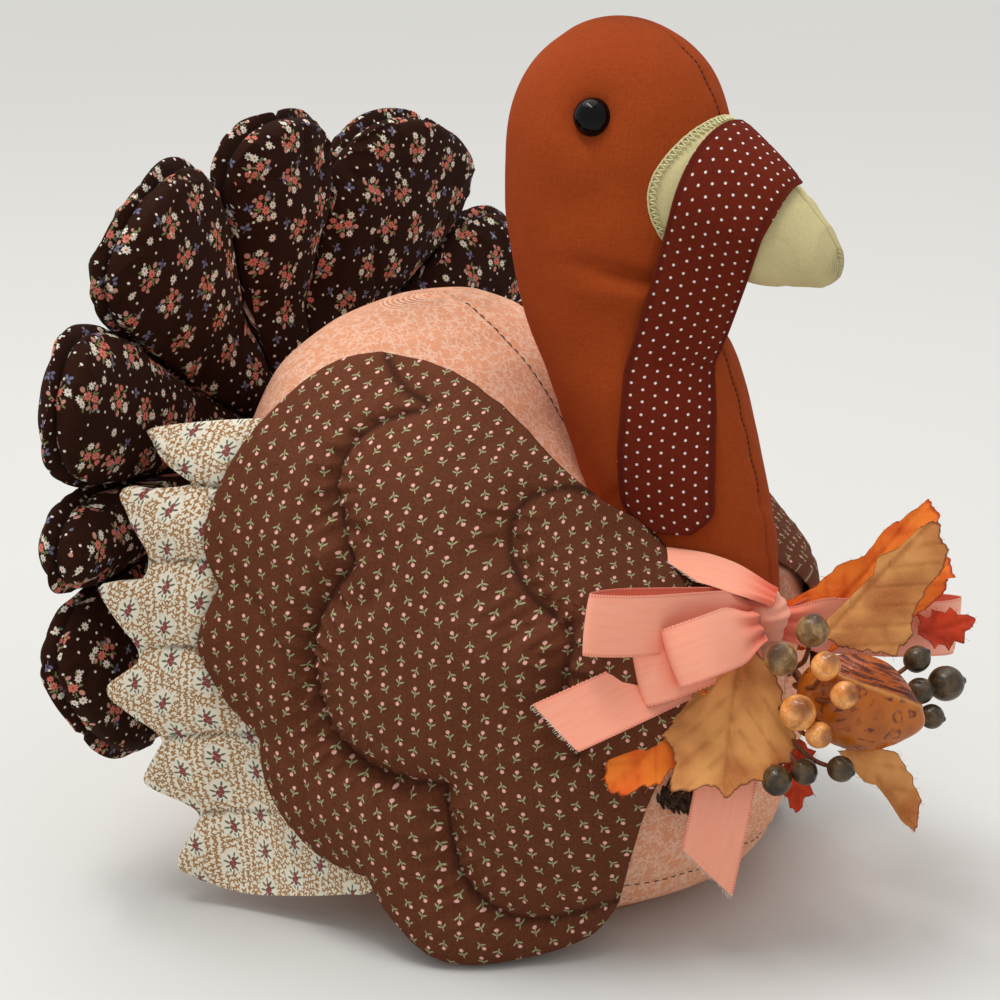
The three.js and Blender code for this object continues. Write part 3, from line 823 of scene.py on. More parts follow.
@dataclass(frozen=True)
class Cotton(Finish):
    """Woven cotton: an uneven ground with fuzz and threads, an optional print, and painted shade along seams,
    creases and hollows.
    """

    shadow: str = "#dddddd"
    roughness: float = 0.92
    sheen: float = 0.12
    specular: float = 0.12
    thread: float = 0.55
    fuzz: float = 0.3
    slubs: float = 0.2
    # Colour of the painted shade in seams, creases and hollows.
    painted_shade: str = "#000000"

    def print_on(self, shade: Shade, ground: Field) -> Field:
        """Draws the print over the ground, none on plain cloth."""
        return ground

    def paint(self, shade: Shade) -> Paint:
        """Draws ground, print, fuzz, threads, and painted shade where the piece marks seams, creases and
        hollows.

        Args:
            shade: The material's tree.

        Returns:
            What is drawn.
        """
        u, v = shade.cloth()
        spot = shade.spot()
        threads = PATTERNS.weave.place(shade, u=u, v=v, pitch=self.thread)[0]
        fluff = shade.noise(spot, 0.9, 3.0, 0.7)
        patch = shade.noise(spot, 16.0, 2.0)
        slub = shade.noise(shade.vector(u * 0.1, v * 1.4), 1.0) + shade.noise(
            shade.vector(u * 1.4, v * 0.1), 1.0)
        mixed = fluff * 0.75 + threads * 0.1 + patch * 0.15 + (slub - 1.0) * self.slubs
        share = shade.ease(mixed, 0.1, 0.8)
        ground = shade.mix(share, self.shadow, self.ground)
        printed = self.print_on(shade, ground)
        speckle = shade.ease(fluff, 0.25, 0.75) * self.fuzz
        faded = shade.mix(speckle * 0.3, printed, self.ground)
        # Painted shade: darkens the cloth towards its shade colour where the piece marks seams, creases and
        # hollows.
        wear_and_shade = shade.mix(shade.marked("painted_shade") * 0.75, faded, self.painted_shade)
        return Paint(wear_and_shade, threads * 0.45 + fluff * 0.55)


@dataclass(frozen=True)
class WingCalico(Cotton):
    """Brown calico strewn with pink buds on pale green leaves."""

    bud: str = "#f0b7ab"
    leaf: str = "#a9ab80"

    def print_on(self, shade: Shade, ground: Field) -> Field:
        """Draws one sprig in each repeat.

        Args:
            shade: The material's tree.
            ground: The colour to draw over.

        Returns:
            The printed colour.
        """
        x, y, *_ = shade.motif(wide=6.3, high=7.4, loose=1.2, steps=2.0, wobble=1.1, seed=3.0)
        leaves = petals(
            shade, x, y,
            [(-0.95, -0.1, 148, 0.85, 0.3), (0.9, 0.0, 38, 0.95, 0.3), (0.0, -1.15, 90, 0.85, 0.21),
             (-0.15, 0.3, 100, 0.7, 0.13)],
        )
        bud = petals(shade, x, y, [(-0.4, 1.5, 0, 0.7, 0.7)])
        return shade.mix(bud, shade.mix(leaves, ground, self.leaf), self.bud)


@dataclass(frozen=True)
class TailCalico(Cotton):
    """Near-black calico with coral and white flowers, blue sprigs and white dots."""

    coral: str = "#dd7a6a"
    white: str = "#ece3d2"
    green: str = "#7a8658"
    blue: str = "#75748c"
    bud: str = "#cf9484"

    def print_on(self, shade: Shade, ground: Field) -> Field:
        """Draws dots, then single flowers and sprigs, then clusters.

        Args:
            shade: The material's tree.
            ground: The colour to draw over.

        Returns:
            The printed colour.
        """
        blossom = PATTERNS.blossom
        x, y, chance, _ = shade.motif(wide=5.4, high=5.6, loose=3.0, steps=1.0, wobble=0.0, seed=11.0)
        dots = petals(shade, x, y, [(0, 0, 0, 0.52, 0.52)]) * chance.over(0.3)
        drawn = shade.mix(dots, ground, self.white)
        x, y, chance, _ = shade.motif(wide=9.4, high=9.8, loose=3.0, steps=5.0, wobble=1.5, seed=5.0)
        mask, heart = blossom.place(shade, x=x, y=y, across=0.0, up=0.0, size=1.7, petals=8.0)
        sprig = petals(
            shade, x, y,
            [(0, 1.1, 90, 0.95, 0.6), (-1.15, -0.2, 165, 0.95, 0.6), (1.15, -0.2, 15, 0.95, 0.6),
             (0.2, -1.4, 95, 1.1, 0.13)],
        ) * (1.0 - chance.over(0.34))
        drawn = shade.mix(mask * chance.over(0.72), drawn, self.white)
        drawn = shade.mix(heart * chance.over(0.72), drawn, self.coral)
        drawn = shade.mix(sprig, drawn, self.blue)
        x, y, *_ = shade.motif(wide=19.5, high=19.0, loose=3.0, steps=6.0, wobble=1.0, seed=2.0)
        leaves = petals(
            shade, x, y,
            [(2.4, -1.2, 30, 1.2, 0.45), (-2.1, 1.5, 130, 1.3, 0.5), (-0.9, -2.6, 60, 1.2, 0.4),
             (3.6, -2.2, -35, 1.2, 0.45), (-5.2, -1.9, 215, 1.1, 0.5), (1.4, 2.6, 60, 1.2, 0.22),
             (-2.2, -5.6, 215, 1.2, 0.4), (2.4, -5.2, -20, 1.2, 0.4)],
        )
        buds = petals(
            shade, x, y,
            [(-0.2, 3.7, 85, 1.25, 0.85), (4.9, -0.5, 30, 1.2, 0.8), (-2.3, -3.9, 150, 1.1, 0.75),
             (3.0, -6.0, 10, 1.0, 0.7)],
        )
        drawn = shade.mix(leaves, drawn, self.green)
        drawn = shade.mix(buds, drawn, self.bud)
        for across, up, size, paint in (
            (0.0, 0.0, 2.0, self.coral), (1.8, -3.3, 1.7, self.coral), (0.2, -6.0, 1.3, self.coral),
            (3.4, 1.9, 1.6, self.white), (-3.9, -0.3, 1.7, self.white),
        ):
            mask, heart = blossom.place(shade, x=x, y=y, across=across, up=up, size=size, petals=8.0)
            drawn = shade.mix(mask, drawn, paint)
            drawn = shade.mix(heart * 0.7, drawn, "#8c3c33")
        return drawn


@dataclass(frozen=True)
class CreamCalico(Cotton):
    """Off-white calico with tan vines round burgundy sprigs."""

    vine: str = "#a8763a"
    sprig: str = "#8a3033"
    green: str = "#50664f"

    def print_on(self, shade: Shade, ground: Field) -> Field:
        """Draws the vines where no sprig is near, then the sprigs.

        Args:
            shade: The material's tree.
            ground: The colour to draw over.

        Returns:
            The printed colour.
        """
        u, v = shade.cloth()
        x, y, *_ = shade.motif(wide=13.5, high=15.0, loose=2.5, steps=1.0, wobble=0.7, seed=8.0)
        apart = shade.math("SQRT", x * x * 1.5 + y * y)
        clear = shade.ease(apart + shade.noise(shade.vector(u, v), 4.0) * 4.0, 6.4, 7.6)
        drawn = ground
        for wide, high, seed in ((2.3, 2.6, 1.0), (2.9, 2.3, 4.0)):
            p, q, *_ = shade.motif(
                seed, wide=wide, high=high, loose=0.8, steps=7.0, wobble=1.0, seed=seed
            )
            leaf = petals(
                shade, p, q,
                [(0.5, 0.3, 35, 0.65, 0.34), (-0.45, 0.3, 140, 0.65, 0.34), (0, -0.55, 85, 0.75, 0.27)],
            )
            drawn = shade.mix(leaf * clear, drawn, self.vine)
        leaves = petals(
            shade, x, y,
            [(1.4, 1.9, 50, 1.1, 0.42), (-1.5, 1.6, 125, 1.1, 0.42), (2.2, 0.2, 15, 1.1, 0.4),
             (-2.3, -0.4, 165, 1.1, 0.4), (-1.7, -2.3, 215, 1.0, 0.38), (1.7, -2.2, -40, 1.1, 0.4),
             (0.2, 3.2, 88, 1.0, 0.36), (0.7, -4.0, 75, 1.0, 0.3), (-0.6, -3.6, 100, 0.8, 0.3)],
        )
        heads = petals(
            shade, x, y,
            [(0.1, 1.2, 80, 1.0, 0.7), (0.7, -0.2, 100, 1.1, 0.75), (-0.6, -0.7, 80, 1.0, 0.7),
             (0.2, -2.0, 90, 1.0, 0.75)],
        )
        drawn = shade.mix(leaves, drawn, self.green)
        return shade.mix(heads, drawn, self.sprig)


@dataclass(frozen=True)
class PinDot(Cotton):
    """Burgundy cotton with small white dots."""

    dot: str = "#efe4dc"

    def print_on(self, shade: Shade, ground: Field) -> Field:
        """Draws the dots in a half-drop grid.

        Args:
            shade: The material's tree.
            ground: The colour to draw over.

        Returns:
            The printed colour.
        """
        x, y, *_ = shade.motif(wide=4.1, high=4.7, loose=0.25, steps=1.0, wobble=0.0, seed=6.0)
        dots = petals(shade, x, y, [(0, 0, 0, 0.5, 0.5)])
        return shade.mix(dots, ground, self.dot)


@dataclass(frozen=True)
class BranchPrint(Cotton):
    """Peach cotton with a paler net of branching lines."""

    line: str = "#ffd3b8"

    def print_on(self, shade: Shade, ground: Field) -> Field:
        """Draws two wandering nets, broken here and there.

        Args:
            shade: The material's tree.
            ground: The colour to draw over.

        Returns:
            The printed colour.
        """
        spot = shade.spot()
        wandering = shade.moved(spot, 2.2, 2.6)
        big = shade.ease(shade.cell_edge(wandering, 4.4), 0.075, 0.035)
        twigs = shade.ease(shade.cell_edge(wandering, 2.3), 0.12, 0.05)
        cut = shade.ease(shade.noise(spot, 2.6), 0.4, 0.5)
        kept = shade.ease(shade.noise(spot, 4.0, 1.0), 0.44, 0.54)
        lines = (big * cut).most(twigs * kept)
        return shade.mix(lines * 0.85, ground, self.line)


@dataclass(frozen=True)
class Satin(Finish):
    """Coral satin ribbon with fine cross ribs, a stitched edge, and painted deep shade in its folds."""

    roughness: float = 0.36
    sheen: float = 0.6
    specular: float = 0.5
    relief: float = 0.12
    ground: str = "#ffb99f"
    shadow: str = "#fb9573"
    # Deep coral painted as the saturated shade inside the loops and where the ribbon gathers at the knot.
    fold: str = "#f0603c"
    half: float = 11.0

    @property
    def nap(self) -> str:
        """Colour of the sheen, paler than the satin."""
        return "#ffd6c8"

    def paint(self, shade: Shade) -> Paint:
        """Draws ribs across the ribbon, painted shade in its folds, and small loops along both edges.

        Args:
            shade: The material's tree.

        Returns:
            What is drawn.
        """
        u, v = shade.cloth()
        ribs = (v * (FULL_TURN / 0.42)).sin() * 0.5 + 0.5
        streak = shade.noise(shade.vector(u * 3.0, v * 0.25), 4.0)
        ground = shade.mix(streak * 0.6 + ribs * 0.2, self.shadow, self.ground)
        # Painted shade: deep coral where the piece marks folds.
        ground = shade.mix(shade.marked("fold"), ground, self.fold)
        edge = shade.ease(u.size(), self.half - 1.1, self.half - 0.7)
        loops = (v * (FULL_TURN / 1.1)).sin() * 0.5 + 0.5
        stitched = shade.mix(edge * loops * 0.55, ground, "#c9503e")
        height = ribs * 0.35 + edge * loops
        return Paint(stitched, height, 0.33 + edge * 0.25 + streak * 0.1)


@dataclass(frozen=True)
class LeafCloth(Finish):
    """Dyed cloth leaf: blotched, veined, and darker and furry along its cut edge."""

    roughness: float = 0.72
    sheen: float = 0.15
    specular: float = 0.25
    relief: float = 0.25
    ground: str = "#dc9b58"
    blotch: str = "#ae6534"
    edge: str = "#6b3014"
    vein: str = "#95501c"

    def paint(self, shade: Shade) -> Paint:
        """Draws blotches, a middle rib, side veins and the edge.

        Args:
            shade: The material's tree.

        Returns:
            What is drawn.
        """
        u, v = shade.cloth()
        spot = shade.spot()
        blots = shade.ease(shade.noise(spot, 16.0, 1.5, 0.5), 0.3, 0.75)
        fine = shade.noise(spot, 0.7, 2.0, 0.7)
        ground = shade.mix(blots, self.ground, self.blotch)
        rib = shade.ease(u.size(), 3.4, 0.0)
        slanted = (v - u.size() * 1.15) / 11.0
        side = shade.ease(((slanted.part() - 0.5) * 11.0).size(), 3.2, 0.0)
        airy = shade.ease(shade.noise(spot, 6.0, 1.0), 0.35, 0.6)
        veins = rib.most(side * 0.75) * airy
        veined = shade.mix(veins * 0.4, ground, self.vein)
        wear_and_shade = shade.mix(shade.ease(fine, 0.4, 0.8) * 0.3, veined, self.ground)
        rim = shade.ease(shade.marked("rim") + fine * 0.04, 0.975, 1.015)
        return Paint(shade.mix(rim * 0.8, wear_and_shade, self.edge), fine)


@dataclass(frozen=True)
class PodShell(Finish):
    """Glossy amber shell with round dark mottles and a streaked rim."""

    roughness: float = 0.34
    specular: float = 0.25
    coat: float = 0.22
    relief: float = 0.5

    def paint(self, shade: Shade) -> Paint:
        """Draws the mottles, the streaks and the pale edges of the rim.

        Args:
            shade: The material's tree.

        Returns:
            What is drawn.
        """
        u, v = shade.cloth()
        spot = shade.spot()
        base = shade.mix(shade.noise(spot, 9.0, 3.0), "#8a3c0c", "#cc7420")
        apart = shade.cell_edge(shade.moved(spot, 5.0, 2.0), 6.5)
        mottle = shade.ease(apart, 0.16, 0.26) * (1.0 - shade.ease(apart, 0.3, 0.42) * 0.8)
        base = shade.mix(mottle * shade.ease(shade.noise(spot, 2.2, 3.0), 0.3, 0.7), base, "#5a200c")
        rim = shade.marked("rim")
        streaks = shade.ease(shade.noise(shade.vector(u * 1.1, v * 0.1), 1.0, 2.0), 0.45, 0.62)
        banded = shade.mix(streaks, "#a44c14", "#4c1408")
        drawn = shade.mix(rim, base, banded)
        drawn = shade.mix(shade.marked("lip") * 0.8, drawn, "#c98c48")
        height = shade.noise(spot, 2.2) * 0.5 - streaks * rim - mottle * 0.4
        return Paint(drawn, height, 0.2 + streaks * rim * 0.15)


@dataclass(frozen=True)
class BerrySkin(Finish):
    """Lacquered berry skin, with a slit and fine wrinkles."""

    roughness: float = 0.32
    specular: float = 0.35
    coat: float = 0.25
    relief: float = 0.35
    flesh: str = "#b39262"
    dark: str = "#6b5029"
    slit: str = "#3a1c10"

    def paint(self, shade: Shade) -> Paint:
        """Draws blotted skin and the slit.

        Args:
            shade: The material's tree.

        Returns:
            What is drawn.
        """
        spot = shade.spot()
        blots = shade.ease(shade.noise(spot, 4.5, 3.0, 0.55), 0.3, 0.7)
        veins = shade.ease(shade.cell_edge(shade.moved(spot, 2.0, 2.0), 3.0), 0.1, 0.03)
        skin = shade.mix(blots, self.dark, self.flesh)
        skin = shade.mix(veins * 0.35, skin, self.dark)
        tipped = shade.mix(shade.marked("cap") * 0.8, skin, self.slit)
        cut = shade.marked("slit")
        return Paint(shade.mix(cut * 0.85, tipped, self.slit), blots * 0.3 - veins * 0.3 - cut)


@dataclass(frozen=True)
class Plain(Finish):
    """Uneven finish between two colours, for thread, stalks, scales and buttons."""

    light: str = "#888888"
    dark: str = "#333333"
    grain: float = 1.2

    def paint(self, shade: Shade) -> Paint:
        """Draws the grain.

        Args:
            shade: The material's tree.

        Returns:
            What is drawn.
        """
        spot = shade.spot()
        grain = shade.noise(spot, self.grain, 3.0, 0.6)
        return Paint(shade.mix(shade.ease(grain, 0.3, 0.7), self.dark, self.light), grain)


@dataclass(frozen=True)
class Table(Finish):
    """Pale seamless paper under and behind the figure."""

    roughness: float = 0.85
    specular: float = 0.0
    relief: float = 0.0

    def paint(self, shade: Shade) -> Paint:
        """Draws a hardly visible unevenness."""
        soft = shade.noise(shade.spot(), 260.0, 1.0)
        return Paint(shade.mix(soft, "#cccbc7", "#cecdc9"), soft)


# For each cotton cloth below, the last colour is that of its painted shade in seams, creases and hollows.
BODY_CLOTH = BranchPrint(
    "peach_branch_print", "body_print", ground="#f7b38d", shadow="#ec9a74", painted_shade="#4a2018"
)
NECK_CLOTH = Cotton("rust_broadcloth", "neck_cloth", ground="#aa481a", shadow="#8b3610", painted_shade="#2a0f04")
BEAK_CLOTH = Cotton("cream_broadcloth", "beak_cloth", ground="#dccf9c", shadow="#c8ba86", painted_shade="#7d7148")
WING_CLOTH = WingCalico(
    "brown_sprig_calico", "wing_print", ground="#6f3e28", shadow="#4d2717", painted_shade="#140805"
)
TAIL_CLOTH = TailCalico(
    "dark_floral_calico", "tail_print", ground="#341709", shadow="#1c0b05", painted_shade="#080201"
)
CREAM_CLOTH = CreamCalico(
    "cream_vine_calico", "cream_print", ground="#f8f0de", shadow="#e9dfc6", painted_shade="#2c2014"
)
WATTLE_CLOTH = PinDot(
    "burgundy_pin_dot", "wattle_print", ground="#722411", shadow="#57190a", painted_shade="#2a0806"
)
SATIN = Satin("satin_ribbon", "satin")
LEAF_TAN = LeafCloth("tan_leaf_cloth", "leaf_tan")
LEAF_ORANGE = LeafCloth(
    "orange_leaf_cloth", "leaf_orange", ground="#ff8a2c", blotch="#e4521a", edge="#9a2c10", vein="#c23c10"
)
LEAF_RED = LeafCloth(
    "red_leaf_cloth", "leaf_red", ground="#d8441a", blotch="#a02810", edge="#4c1208", vein="#7c1c0a"
)
POD_SHELL = PodShell("pod_shell", "pod")
BERRY_OLIVE = BerrySkin("berry_olive", "berry")
BERRY_AMBER = BerrySkin("berry_amber", "berry", flesh="#f7b068", dark="#cf7f34", slit="#7a3c14")
BERRY_DARK = BerrySkin("berry_dark", "berry", flesh="#604a2c", dark="#2c2010", slit="#180c08")
EYE_GLOSS = Plain(
    "eye_gloss", "eye", light="#0b0b0c", dark="#040404", roughness=0.06, specular=0.14, relief=0.02
)
STALK = Plain("stalk", "wire", light="#8a4f2b", dark="#5a2f1b", roughness=0.5)
CONE_SCALE = Plain("cone_scale", "cone", light="#5b4030", dark="#1d120d", roughness=0.8)
SEAM_THREAD = Plain("seam_thread", "thread", light="#3a1a10", dark="#1a0905", roughness=0.8, sheen=0.3)
EDGE_THREAD = Plain("edge_thread", "thread", light="#eee9ba", dark="#c9c48a", roughness=0.7, sheen=0.3)
PALE_FIBRE = Plain("pale_fibre", "satin", light="#f6efe2", dark="#dccbb5", roughness=0.8, sheen=0.3)


class Side(Enum):
    """The figure's own right and left, with the sign of Y there."""

    RIGHT = -1
    LEFT = 1

    @property
    def word(self) -> str:
        """The side's name as the frame's nodes have it."""
        return self.name.lower()


# Body, neck and head


def crowded(turn: Numbers, share: float = 0.35) -> Numbers:
    """Draws angles towards 0 and half a turn, where the front and back seams are."""
    return turn - share * np.sin(2 * turn)


@dataclass
class Body:
    """The stuffed body: height, rearmost X, foremost X and half width of each row."""

    rows: Rows = (
        (0, -66, 88, 76), (12, -82, 110, 90), (40, -92, 122, 98), (80, -97, 128, 104),
        (115, -98, 126, 105), (134, -98, 118, 104), (147, -98, 92, 102), (160, -97, 56, 99),
        (176, -94, 35, 91), (190, -89, 23, 81), (202, -82, 12, 69), (214, -68, -2, 50),
        (222, -50, -14, 28), (226, -26, -26, 0),
    )
    base_share: float = 0.1
    base_seam: float = 21.0
    around: int = 220
    rings: int = 170

    def relief(self, at: Numbers) -> Numbers:
        """Gives the height of seams, folds and the hollow under the neck over the plain surface.

        Args:
            at: Points of the plain surface.

        Returns:
            A height for each point.
        """
        level = at[:, 2]
        middle = hill(at[:, 1], 1.4) * ease(level, 2, 20)
        base = hill(level - self.base_seam, 1.5)
        tucks = np.sin(at[:, 1] / 2.8 + 2 * lumps(at, 20, 6)) * hill(level - self.base_seam, 7)
        soft = lumps(at, 45, 1) * 1.2 + lumps(at, 17, 2) * 0.35
        under = np.hypot((at[:, 0] - 94) / 42, at[:, 1] / 46)
        sunk = 9 * hill(under, 0.9) * ease(level, 92, 112)
        lift = soft - 0.9 * middle - 0.8 * base + 0.35 * tucks - sunk
        return lift * ease(level, 0.5, 14)

    def build(self) -> None:
        """Makes the body in one piece over its two covers and base panel."""
        form = Form("body", self.around, self.rings)
        turn = crowded(form.turn)
        fine = np.linspace(0, self.rows[-1][0], 600)
        run = run_along(np.stack([fine, at_level(self.rows, fine)[:, 3]], 1))
        way = np.clip((form.way - self.base_share) / (1 - self.base_share), 0, 1)
        level = np.interp(way, run / run[-1], fine)
        share = np.clip(form.way / self.base_share, 0, 1)
        at = self.surface(turn, level, share)
        form.place(at)
        form.place(at + form.outward() * self.relief(at)[:, None])
        # Painted shade along the middle and base seams and in the hollow under the neck.
        middle = hill(at[:, 1], 0.5) * ease(level, 2, 20)
        shaded = hill(np.hypot((at[:, 0] - 94) / 42, at[:, 1] / 46), 1.2) * ease(level, 95, 112)
        shaded *= ease(level, 150, 138)
        form.mark("painted_shade", np.maximum(0.4 * np.maximum(middle, hill(level - self.base_seam, 0.6)), shaded))
        form.lay_cloth(np.abs(turn) * 100, level)
        piece = form.piece(
            BODY_CLOTH, "body_cover_right", "body_cover_left", "body_stuffing", "body_base_panel"
        )
        self._sew()

    def surface(self, turn: Numbers, level: Numbers, share: Numbers) -> Numbers:
        """Gives points of the body at angles round it, at heights, and at shares of its width.

        Args:
            turn: Angles from straight ahead.
            level: Heights.
            share: Shares of the width there.

        Returns:
            The points.
        """
        _, rear, front, half = at_level(self.rows, level).T
        deep = (front - rear) / 2 * share
        across = np.maximum(half, 0) * share
        return np.stack([(rear + front) / 2 + deep * np.cos(turn), across * np.sin(turn), level], 1)

    def _sew(self) -> None:
        """Sews the seam over the back and the seam of the base panel."""
        level = np.linspace(158, 224, 160)
        top = self.surface(0 * level, level, 1 + 0 * level)
        turn = np.linspace(-1.3, 0.2, 160)
        base = self.surface(turn, 0 * turn + self.base_seam, 1 + 0 * turn)
        for name, line in (("back_seam_stitches", top), ("base_seam_stitches", base)):
            ahead = unit(np.gradient(line, axis=0))
            out = np.cross((0.0, 1.0, 0.0), ahead) if line is top else np.cross(ahead, (0.0, 0.0, 1.0))
            on_cloth = line + out * (self.relief(line)[:, None] + 0.3)
            stitches(name, on_cloth, out, 4.0, 3.0).piece(SEAM_THREAD)


@dataclass
class NeckAndHead:
    """The stuffed neck and head: spine X, spine Z, half length across the spine, half width."""

    rows: Rows = (
        (96, 96, 27, 25), (89, 128, 32, 30), (84, 150, 33, 31), (77, 172, 35, 33), (69, 194, 36, 34),
        (60.5, 214, 35.5, 33.5), (55, 234, 40, 35), (53, 260, 44.3, 37), (52.3, 286, 45, 37),
        (52.3, 312, 45, 37), (52.3, 337, 0, 0),
    )
    eye: Point = (58.5, 33.0, 303.5)
    crown: int = 8
    around: int = 200
    rings: int = 240

    def sizes(self, place: Numbers) -> Numbers:
        """Gives spine X, spine Z, half length and half width, with the round crown of the head.

        Args:
            place: Places along the rows.

        Returns:
            The four, with a value for each place.
        """
        x, z, deep, half = along(self.rows, place).T
        _, low, crown_deep, crown_half = self.rows[self.crown]
        rise = np.clip((z - low) / (self.rows[-1][1] - low), 0, 1)
        dome = np.sqrt(1 - rise * rise)
        in_crown = place > self.crown
        deep = np.where(in_crown, crown_deep * dome, deep)
        half = np.where(in_crown, crown_half * dome, half)
        return np.stack([x, z, deep, half])

    def surface(self, turn: Numbers, place: Numbers) -> Numbers:
        """Gives points of the neck at angles round it and places along its rows.

        Args:
            turn: Angles from straight ahead.
            place: Places along the rows.

        Returns:
            The points.
        """
        x, z, deep, half = self.sizes(place)
        after = along(self.rows, place + 0.25)
        before = along(self.rows, place - 0.25)
        up = unit((after - before)[:, :2])
        ahead = np.stack([up[:, 1], np.zeros(len(x)), -up[:, 0]], 1)
        spine = np.stack([x, np.zeros(len(x)), z], 1)
        at = spine + ahead * (deep * np.cos(turn))[:, None]
        at[:, 1] += half * np.sin(turn)
        return at

    def holds(self, at: Numbers) -> Numbers:
        """Tells which points lie inside the neck and head.

        Args:
            at: The points.

        Returns:
            True for each point inside.
        """
        x, z, deep, half = self.sizes(np.linspace(0, len(self.rows) - 1, 600))
        step = np.abs(at[:, 2][:, None] - z[None, :]).argmin(1)
        p = (at[:, 0] - x[step]) / np.maximum(deep[step], 0.1)
        q = at[:, 1] / np.maximum(half[step], 0.1)
        return p * p + q * q < 1

    def relief(self, at: Numbers) -> Numbers:
        """Gives the height of seams, eye hollows and creases over the plain surface.

        Args:
            at: Points of the plain surface.

        Returns:
            A height for each point.
        """
        x, y, z = at.T
        socket = np.hypot(x - self.eye[0], z - self.eye[2])
        hollow = 4.0 * hill(socket, 10.0) * ease(np.abs(y), 8, 20)
        side = ease(np.abs(y), 6, 18)
        cheek = 5.0 * hill(z - 248.5 + 0.18 * (x - 70) + 0.004 * (x - 70) ** 2, 3.2) * hill(x - 76, 16)
        upper = 1.2 * hill(z - 272 - 0.2 * (x - 55), 9) * hill(x - 58, 16)
        pouch = 2.2 * hill(z - 240, 5) * hill(x - 76, 18)
        fold = 1.2 * hill(z - 206 - 0.55 * (x - 60), 4.5) * ease(x, 66, 95)
        tucks = np.sin(z / 2.4 + 2 * lumps(at, 20, 4)) * hill(y, 7) * 0.3
        soft = lumps(at, 30, 3) * 0.9 + lumps(at, 12, 5) * 0.2 - 0.5 * folds(at, 30, 8) * hill(z - 150, 40)
        lift = soft + tucks - hollow - 0.7 * hill(y, 1.1) - fold + (pouch - cheek - upper) * side
        return lift * ease(z, 335, 329)

    def build(self) -> None:
        """Makes neck and head in one piece."""
        form = Form("neck_and_head", self.around, self.rings)
        turn = crowded(form.turn)
        fine = np.linspace(0, len(self.rows) - 1, 4000)
        run = run_along(self.surface(np.zeros(len(fine)), fine))
        place = np.interp(form.way * run[-1], run, fine)
        at = self.surface(turn, place)
        bottom = np.clip(form.way / 0.02, 0, 1)[:, None]
        at = self.rows[0][0] * np.array([1, 0, 1]) * (1 - bottom) + at * bottom
        form.place(at)
        form.place(at + form.outward() * self.relief(at)[:, None])
        x, y, z = at.T
        # Painted shade along the middle seam and round the eye socket.
        socket = np.hypot(x - self.eye[0], z - self.eye[2])
        shade_in = 0.55 * hill(socket, 6.5) * ease(np.abs(y), 8, 20)
        form.mark("painted_shade", np.maximum(0.45 * hill(y, 0.4) * ease(z, 120, 140), shade_in))
        form.lay_cloth(np.abs(turn) * 38, form.way * run[-1])
        piece = form.piece(
            NECK_CLOTH, "neck_cover_right", "neck_cover_left", "neck_stuffing", "eye_thread"
        )
        line = self.surface(np.zeros(400), np.linspace(2.2, len(self.rows) - 1.4, 400))
        ahead = unit(np.gradient(line, axis=0))
        out = np.cross((0.0, 1.0, 0.0), ahead)
        on_cloth = line + out * (self.relief(line)[:, None] + 0.25)
        stitches("neck_stitches", on_cloth, out).piece(SEAM_THREAD)


